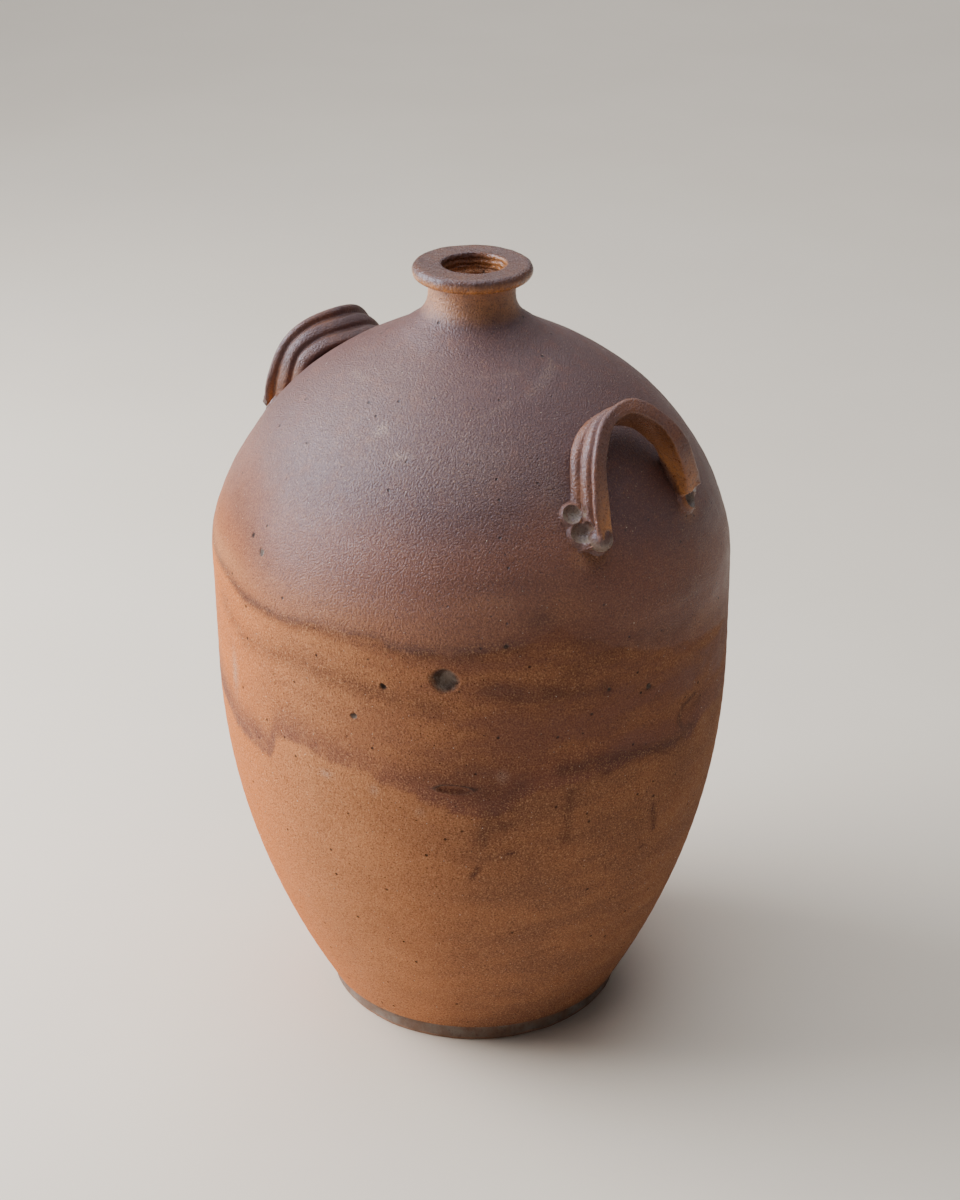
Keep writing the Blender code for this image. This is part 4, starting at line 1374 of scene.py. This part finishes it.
def paint_handle(mesh, outline, balls):
    """Lays out the orange wear and the olive ash in the thumb marks on a handle, with painted shade
    in the upper part of each thumb mark and under the top of the arch.
    """
    points = mesh_points(mesh)
    normals = mesh_normals(mesh)
    middle = np.array((points[:, 0].mean(), 0.0, HANDLE_HEIGHT + HANDLE_RISE * 0.30))
    inward = np.einsum("ij,ij->i", normals, middle - points)
    inward /= np.linalg.norm(middle - points, axis=1)
    climb = np.clip((points[:, 2] - HANDLE_HEIGHT) / HANDLE_RISE, 0, 1)
    low = np.clip(1.2 - climb / 0.50, 0, 1)
    inner = np.clip((inward - 0.30) * 2.5, 0, 1)
    clear = np.clip((proud_of_wall(points, outline) - PAD_HEIGHT * 0.4) / PAD_HEIGHT, 0, 1)
    from_edge = (HANDLE_REACH * 0.93 - np.abs(points[:, 1])) / (STRAP_WIDTH * 0.3)
    turned_in = np.clip(np.maximum(inward * 1.4 + 0.95, from_edge + 0.3), 0, 1)
    rust = np.maximum(inner * 0.75, low * turned_in) * clear
    ash = np.zeros(len(points))
    shade = np.zeros(len(points))
    for ball in balls:
        reach = np.linalg.norm(points - np.array(ball), axis=1)
        inside = np.clip(1 - (reach - THUMB_RADIUS) / (THUMB_LIP / 2), 0, 1)
        ash = np.maximum(ash, inside)
        rise = (points[:, 2] - ball.z) / THUMB_RADIUS
        shade = np.maximum(shade, inside * np.clip(rise + 0.40, 0, 1))
    paint(mesh, "rust", rust * (1 - ash))
    paint(mesh, "pale_marks_and_sheen", ash * (1 - shade) * 0.9)
    # Painted shade in the upper part of each thumb mark and under the top of the arch
    paint(mesh, "smoke_and_shade", np.maximum(shade * 0.8, inner * np.clip(climb * 1.6 - 0.5, 0, 1) * 0.85))


def rows_of(points, wobble=0.0, rings=0.0, offset=0.0, ripple=0.0):
    """Rows for the wheel, one a point, all uneven alike."""
    return [(point, wobble, rings, offset, ripple) for point in points]


def foot_rows():
    """Underside, side and top of the foot slab, from the centre of its underside."""
    side_low = Vector((FOOT_RADIUS - FOOT_EDGE, FOOT_EDGE))
    side_high = Vector((FOOT_RADIUS - FOOT_EDGE, FOOT_HEIGHT - FOOT_EDGE))
    hollow_end = Vector((FOOT_RADIUS * 0.86, FOOT_HOLLOW))
    rest = [Vector((FOOT_RADIUS * 0.90, 0.0)), Vector((side_low.x, 0.0))]
    underside = even_path([Vector((0.0, FOOT_HOLLOW)), hollow_end] + rest, FOOT_UNDER_STEP)
    side = arc_path(side_low, FOOT_EDGE, FOOT_EDGE, -90, 0, 6)[1:]
    side += arc_path(side_high, FOOT_EDGE, FOOT_EDGE, 0, 90, 6)
    side = even_path(side, FOOT_STEP)
    top = even_path([side[-1], Vector((0.0, FOOT_HEIGHT))], FOOT_TOP_STEP)[1:]
    return rows_of(underside) + rows_of(side, FOOT_ROUGHNESS_DEPTH * 2.4) + rows_of(top)


def inner_side(outer, thickness, spacing):
    """The outer side moved inwards by the wall's thickness, in even steps, going down."""
    inner = []
    last = len(outer) - 1
    for index, point in enumerate(outer):
        along = outer[min(index + 1, last)] - outer[max(index - 1, 0)]
        inwards = Vector((-along.y, along.x)).normalized()
        if index in (0, last):
            inwards = Vector((-1.0, 0.0))
        inner.append(point + inwards * thickness)
    return even_path(inner, spacing)[::-1]


def wall_rows(outer):
    """Thrown section of the wall: its outer side, and its inside in coarser steps."""
    rows = rows_of(even_path(outer, WALL_STEP), WOBBLE, WHEEL_RING_DEPTH)
    return rows + rows_of(inner_side(outer, WALL_THICKNESS, INSIDE_STEP), 0.0, WHEEL_RING_DEPTH)


def neck_rows(outer):
    """Neck: its outer side, the seat of the ring, and its ringed bore."""
    rows = rows_of(even_path(outer, NECK_STEP), WOBBLE, WHEEL_RING_DEPTH)
    bore = inner_side(outer, NECK_WALL, NECK_STEP)
    return rows + rows_of(bore, 0.0, BORE_RING_DEPTH, BORE_OFFSET)


def rim_rows():
    """Ring round the mouth: underside, round edge, flat top and bore."""
    seat = NECK_TOP
    edge_rise = (RIM_TOP - seat) / 2
    edge = Vector((RIM_RADIUS - RIM_EDGE_REACH, seat + edge_rise))
    outer = [Vector((NECK_RADIUS - NECK_WALL / 2, seat))]
    outer += arc_path(edge, RIM_EDGE_REACH, edge_rise, -90, 90, 24)
    outer.append(Vector((MOUTH_RADIUS + RIM_INNER_EDGE, RIM_TOP - RIM_DISH)))
    lip = Vector((MOUTH_RADIUS + RIM_INNER_EDGE, RIM_TOP - RIM_DISH - RIM_INNER_EDGE))
    inner = arc_path(lip, RIM_INNER_EDGE, RIM_INNER_EDGE, 90, 180, 8)[1:]
    inner.append(Vector((MOUTH_RADIUS, seat)))
    rows = rows_of(even_path(outer, RIM_STEP), RIM_WOBBLE, ripple=RIM_RIPPLE)
    bore = even_path(inner, RIM_STEP)
    return rows + rows_of(bore, RIM_WOBBLE, BORE_RING_DEPTH * 0.7, BORE_OFFSET)


def paint_rim(mesh):
    """Orange shows low on the ring's edge, and at one side of the bore; painted shade darkens the
    bore, most on the side that faces away from the window.
    """
    points = mesh_points(mesh)
    radius = np.hypot(points[:, 0], points[:, 1])
    turn = turn_from_front(points)
    bore = np.clip((MOUTH_RADIUS + RIM_INNER_EDGE * 1.2 - radius) / RIM_INNER_EDGE, 0, 1)
    low = np.clip((NECK_TOP + RIM_HEIGHT * 0.72 - points[:, 2]) / (RIM_HEIGHT * 0.45), 0, 1)
    bright_side = np.clip(np.sin(turn * math.tau) * 1.3 + 0.15, 0, 1)
    paint(mesh, "rust", np.maximum(bore * bright_side, low))
    paint(mesh, "pale_marks_and_sheen", np.zeros(len(points)))
    # Painted shade in the bore, deepest on the side that faces away from the window
    paint(mesh, "smoke_and_shade", bore * (0.25 + (1 - bright_side) * 0.55))


def press_blemishes(mesh, outline):
    """Presses the pits, the chip and the long scar, and paints where the clay is broken, with
    painted shade along the scar's upper lip.
    """
    pits = [(*wall_point(outline, turn, height), size) for turn, height, size in PIT_SHARES]
    chip, chip_normal = wall_point(outline, *CHIP_PLACE_SHARES)
    scar, scar_normal = wall_point(outline, *SCAR_PLACE_SHARES)
    split_finer(mesh, [pit[0] for pit in pits], [PIT_SIZE * pit[2] * 2.0 for pit in pits], 3)
    split_finer(mesh, [chip, scar], [CHIP_SIZE * 1.5, SCAR_SIZE * 1.3], 3)
    broken_and_shaded = np.zeros(len(mesh.vertices))
    for seed, (point, normal, size) in enumerate(pits):
        bowl, _ = press_dent(mesh, point, normal, PIT_SIZE * size, PIT_SIZE * size,
                             PIT_DEPTH * size, PIT_DEPTH * 0.15, 10 + seed)
        broken_and_shaded = np.maximum(broken_and_shaded, bowl)
    bowl, _ = press_dent(mesh, chip, chip_normal, CHIP_SIZE * 1.14, CHIP_SIZE * 1.02,
                         CHIP_DEPTH, CHIP_DEPTH * 0.06, 3)
    _, ridge = press_dent(mesh, scar, scar_normal, SCAR_SIZE, SCAR_SIZE * 0.22,
                          SCAR_DEPTH, SCAR_DEPTH * 0.5, 5)
    points = mesh_points(mesh)
    # Painted shade: the scar's dark lip is strongest along its upper edge
    shaded = np.clip(0.6 + (points[:, 2] - scar.z) / (SCAR_SIZE * 0.20), 0.30, 1.0)
    paint(mesh, "broken_and_shaded", np.maximum(np.maximum(broken_and_shaded, bowl), ridge * shaded))


def build_jar():
    """Makes the seven pieces and the sand, each in the place of its solid."""
    wheel = wheel_tree()
    wall_clay = fired_wall("fired_wall")
    ring_glaze = fired_brown("ring_glaze", RING_PLUM, RING_RUST, RING_ROUGHNESS)
    strap_glaze = fired_brown("strap_glaze", STRAP_PLUM, STRAP_RUST, STRAP_ROUGHNESS)
    # The left handle's glaze is a darker copy of the strap glaze, as painted shade
    left_shaded_glaze = fired_brown(
        "left_strap_shaded_glaze", LEFT_STRAP_SHADED_PLUM, LEFT_STRAP_SHADED_RUST, LEFT_STRAP_ROUGHNESS
    )

    lower, upper, neck = wall_outline()
    whole = lower + upper[1:] + neck[1:]
    foot = turn_piece("foot_slab", foot_rows(), rubbed_foot("rubbed_foot"), wheel,
                      FOOT_COLUMNS, WHEEL_RING_PITCH, FOOT_LUMP, seed=3.0)
    body = turn_piece("lower_wall", wall_rows(lower), wall_clay, wheel,
                      WALL_COLUMNS, WHEEL_RING_PITCH, WALL_LUMP, seed=1.0)
    shoulder = turn_piece("shoulder_wall", wall_rows(upper), wall_clay, wheel,
                          WALL_COLUMNS, WHEEL_RING_PITCH, WALL_LUMP, seed=1.0)
    throat = turn_piece("neck", neck_rows(neck), wall_clay, wheel,
                        WALL_COLUMNS, BORE_RING_PITCH, WALL_LUMP, seed=1.0)
    ring = turn_piece("mouth_ring", rim_rows(), ring_glaze, wheel,
                      RIM_COLUMNS, BORE_RING_PITCH, RIM_LUMP, seed=2.0)

    height = HANDLE_HEIGHT
    stations = strap_stations(whole, height, HANDLE_OPENING, 0.0, STRAP_PATH_SHARES)
    right, right_balls = pull_handle(
        "right_handle", whole, height, stations, 0.0, strap_glaze, seed=7
    )
    height = HANDLE_HEIGHT - LEFT_HANDLE_DROP
    stations = strap_stations(
        whole, height, LEFT_HANDLE_OPENING, LEFT_STRAP_EXTRA, LEFT_STRAP_PATH_SHARES
    )
    left, left_balls = pull_handle(
        "left_handle", whole, height, stations, math.pi, left_shaded_glaze, seed=8
    )
    balls = right_balls + left_balls
    split_finer(shoulder.data, balls, [THUMB_RADIUS * 1.3] * len(balls), 2)
    for ball in balls:
        flat = Vector((ball.x, ball.y, 0.0)).normalized()
        press_ball(shoulder.data, ball, THUMB_RADIUS + SEAT_SINK, 0.0, flat)

    for piece in (body, shoulder):
        press_blemishes(piece.data, whole)
    paint(throat.data, "broken_and_shaded", np.zeros(len(throat.data.vertices)))
    for piece in (body, shoulder, throat):
        paint_wall(piece.data)
    paint_rim(ring.data)
    paint_handle(right.data, whole, right_balls)
    paint_handle(left.data, whole, left_balls)

    stand_for(foot, "foot_disc")
    stand_for(body, "lower_body")
    stand_for(shoulder, "shoulder")
    stand_for(throat, "neck")
    stand_for(ring, "mouth_rim")
    stand_for(right, "handle_right")
    stand_for(left, "handle_left")

    grit = grit_tree()
    pale = grain_finish("pale_sand", GRAIN_PALE)
    iron = grain_finish("iron_sand", GRAIN_IRON)
    for name, wall, density, seed, sand, slot_name in (
        ("lower_pale_grit", body, PALE_GRAINS_PER_AREA, 4, pale, "bare_clay"),
        ("shoulder_pale_grit", shoulder, PALE_GRAINS_PER_AREA, 5, pale, "salt_brown"),
        ("lower_iron_grit", body, IRON_GRAINS_PER_AREA, 6, iron, "bare_clay"),
    ):
        scatter_grit(name, wall, grit, density, seed, sand)


def hang_light(name, turned, lift, distance, width, height, energy, colour, facing_down=False):
    """Soft rectangular light that faces the jar from the given direction, or faces down."""
    azimuth = FRONT_ANGLE + math.radians(turned)
    light = bpy.data.lights.new(name, "AREA")
    light.shape = "RECTANGLE"
    light.size = width
    light.size_y = height
    light.energy = energy
    light.color = colour
    lamp = new_object(name, light)
    way = direction(azimuth, math.radians(lift))
    lamp.location = Vector((0.0, 0.0, RIM_TOP / 2)) + way * distance
    if facing_down:
        lamp.rotation_euler = (0.0, 0.0, azimuth + math.pi / 2)
    else:
        lamp.rotation_euler = (-way).to_track_quat("-Z", "Y").to_euler()
    lamp.visible_camera = False


def light_and_floor():
    """Pale floor, a large soft window at the left, a weak light behind, and a dim room."""
    bpy.ops.mesh.primitive_plane_add(size=FLOOR_SIZE)
    floor = bpy.context.object
    floor.name = "floor"
    floor.data.materials.append(plain_floor_finish("plain_floor"))

    world = bpy.context.scene.world or bpy.data.worlds.new("studio")
    bpy.context.scene.world = world
    world.use_nodes = True
    background = world.node_tree.nodes["Background"]
    background.inputs["Color"].default_value = ROOM_COLOUR
    background.inputs["Strength"].default_value = ROOM_STRENGTH
    for row in LIGHTS:
        hang_light(*row)
    hang_light(*FAR_LIGHT, facing_down=True)
    sky = bpy.data.lights.new("sky", "SUN")
    sky.energy = SKY_STRENGTH
    sky.angle = math.radians(SKY_SPREAD)
    sky.color = SKY_COLOUR
    way = direction(FRONT_ANGLE + math.radians(SKY_TURN), math.radians(SKY_LIFT))
    new_object("sky", sky).rotation_euler = (-way).to_track_quat("-Z", "Y").to_euler()


def set_camera():
    """Camera where the photograph was taken from, with its field of view."""
    turn = Matrix.Rotation(FRONT_ANGLE + math.pi / 2, 3, "Z")
    right = (turn @ Vector(CAMERA_RIGHT)).normalized()
    up = (turn @ Vector(CAMERA_UP)).normalized()
    ahead = (turn @ Vector(CAMERA_AHEAD)).normalized()
    place = turn @ Vector(CAMERA_PLACE)
    camera = bpy.data.cameras.new("camera")
    camera.sensor_fit = "VERTICAL"
    camera.sensor_height = SENSOR_HEIGHT
    camera.lens = SENSOR_HEIGHT * FOCAL_PIXELS / PICTURE_PIXELS
    seen = new_object("camera", camera)
    seen.matrix_world = Matrix((
        (right.x, up.x, -ahead.x, place.x),
        (right.y, up.y, -ahead.y, place.y),
        (right.z, up.z, -ahead.z, place.z),
        (0.0, 0.0, 0.0, 1.0),
    ))
    bpy.context.scene.camera = seen


build_jar()
light_and_floor()
set_camera()
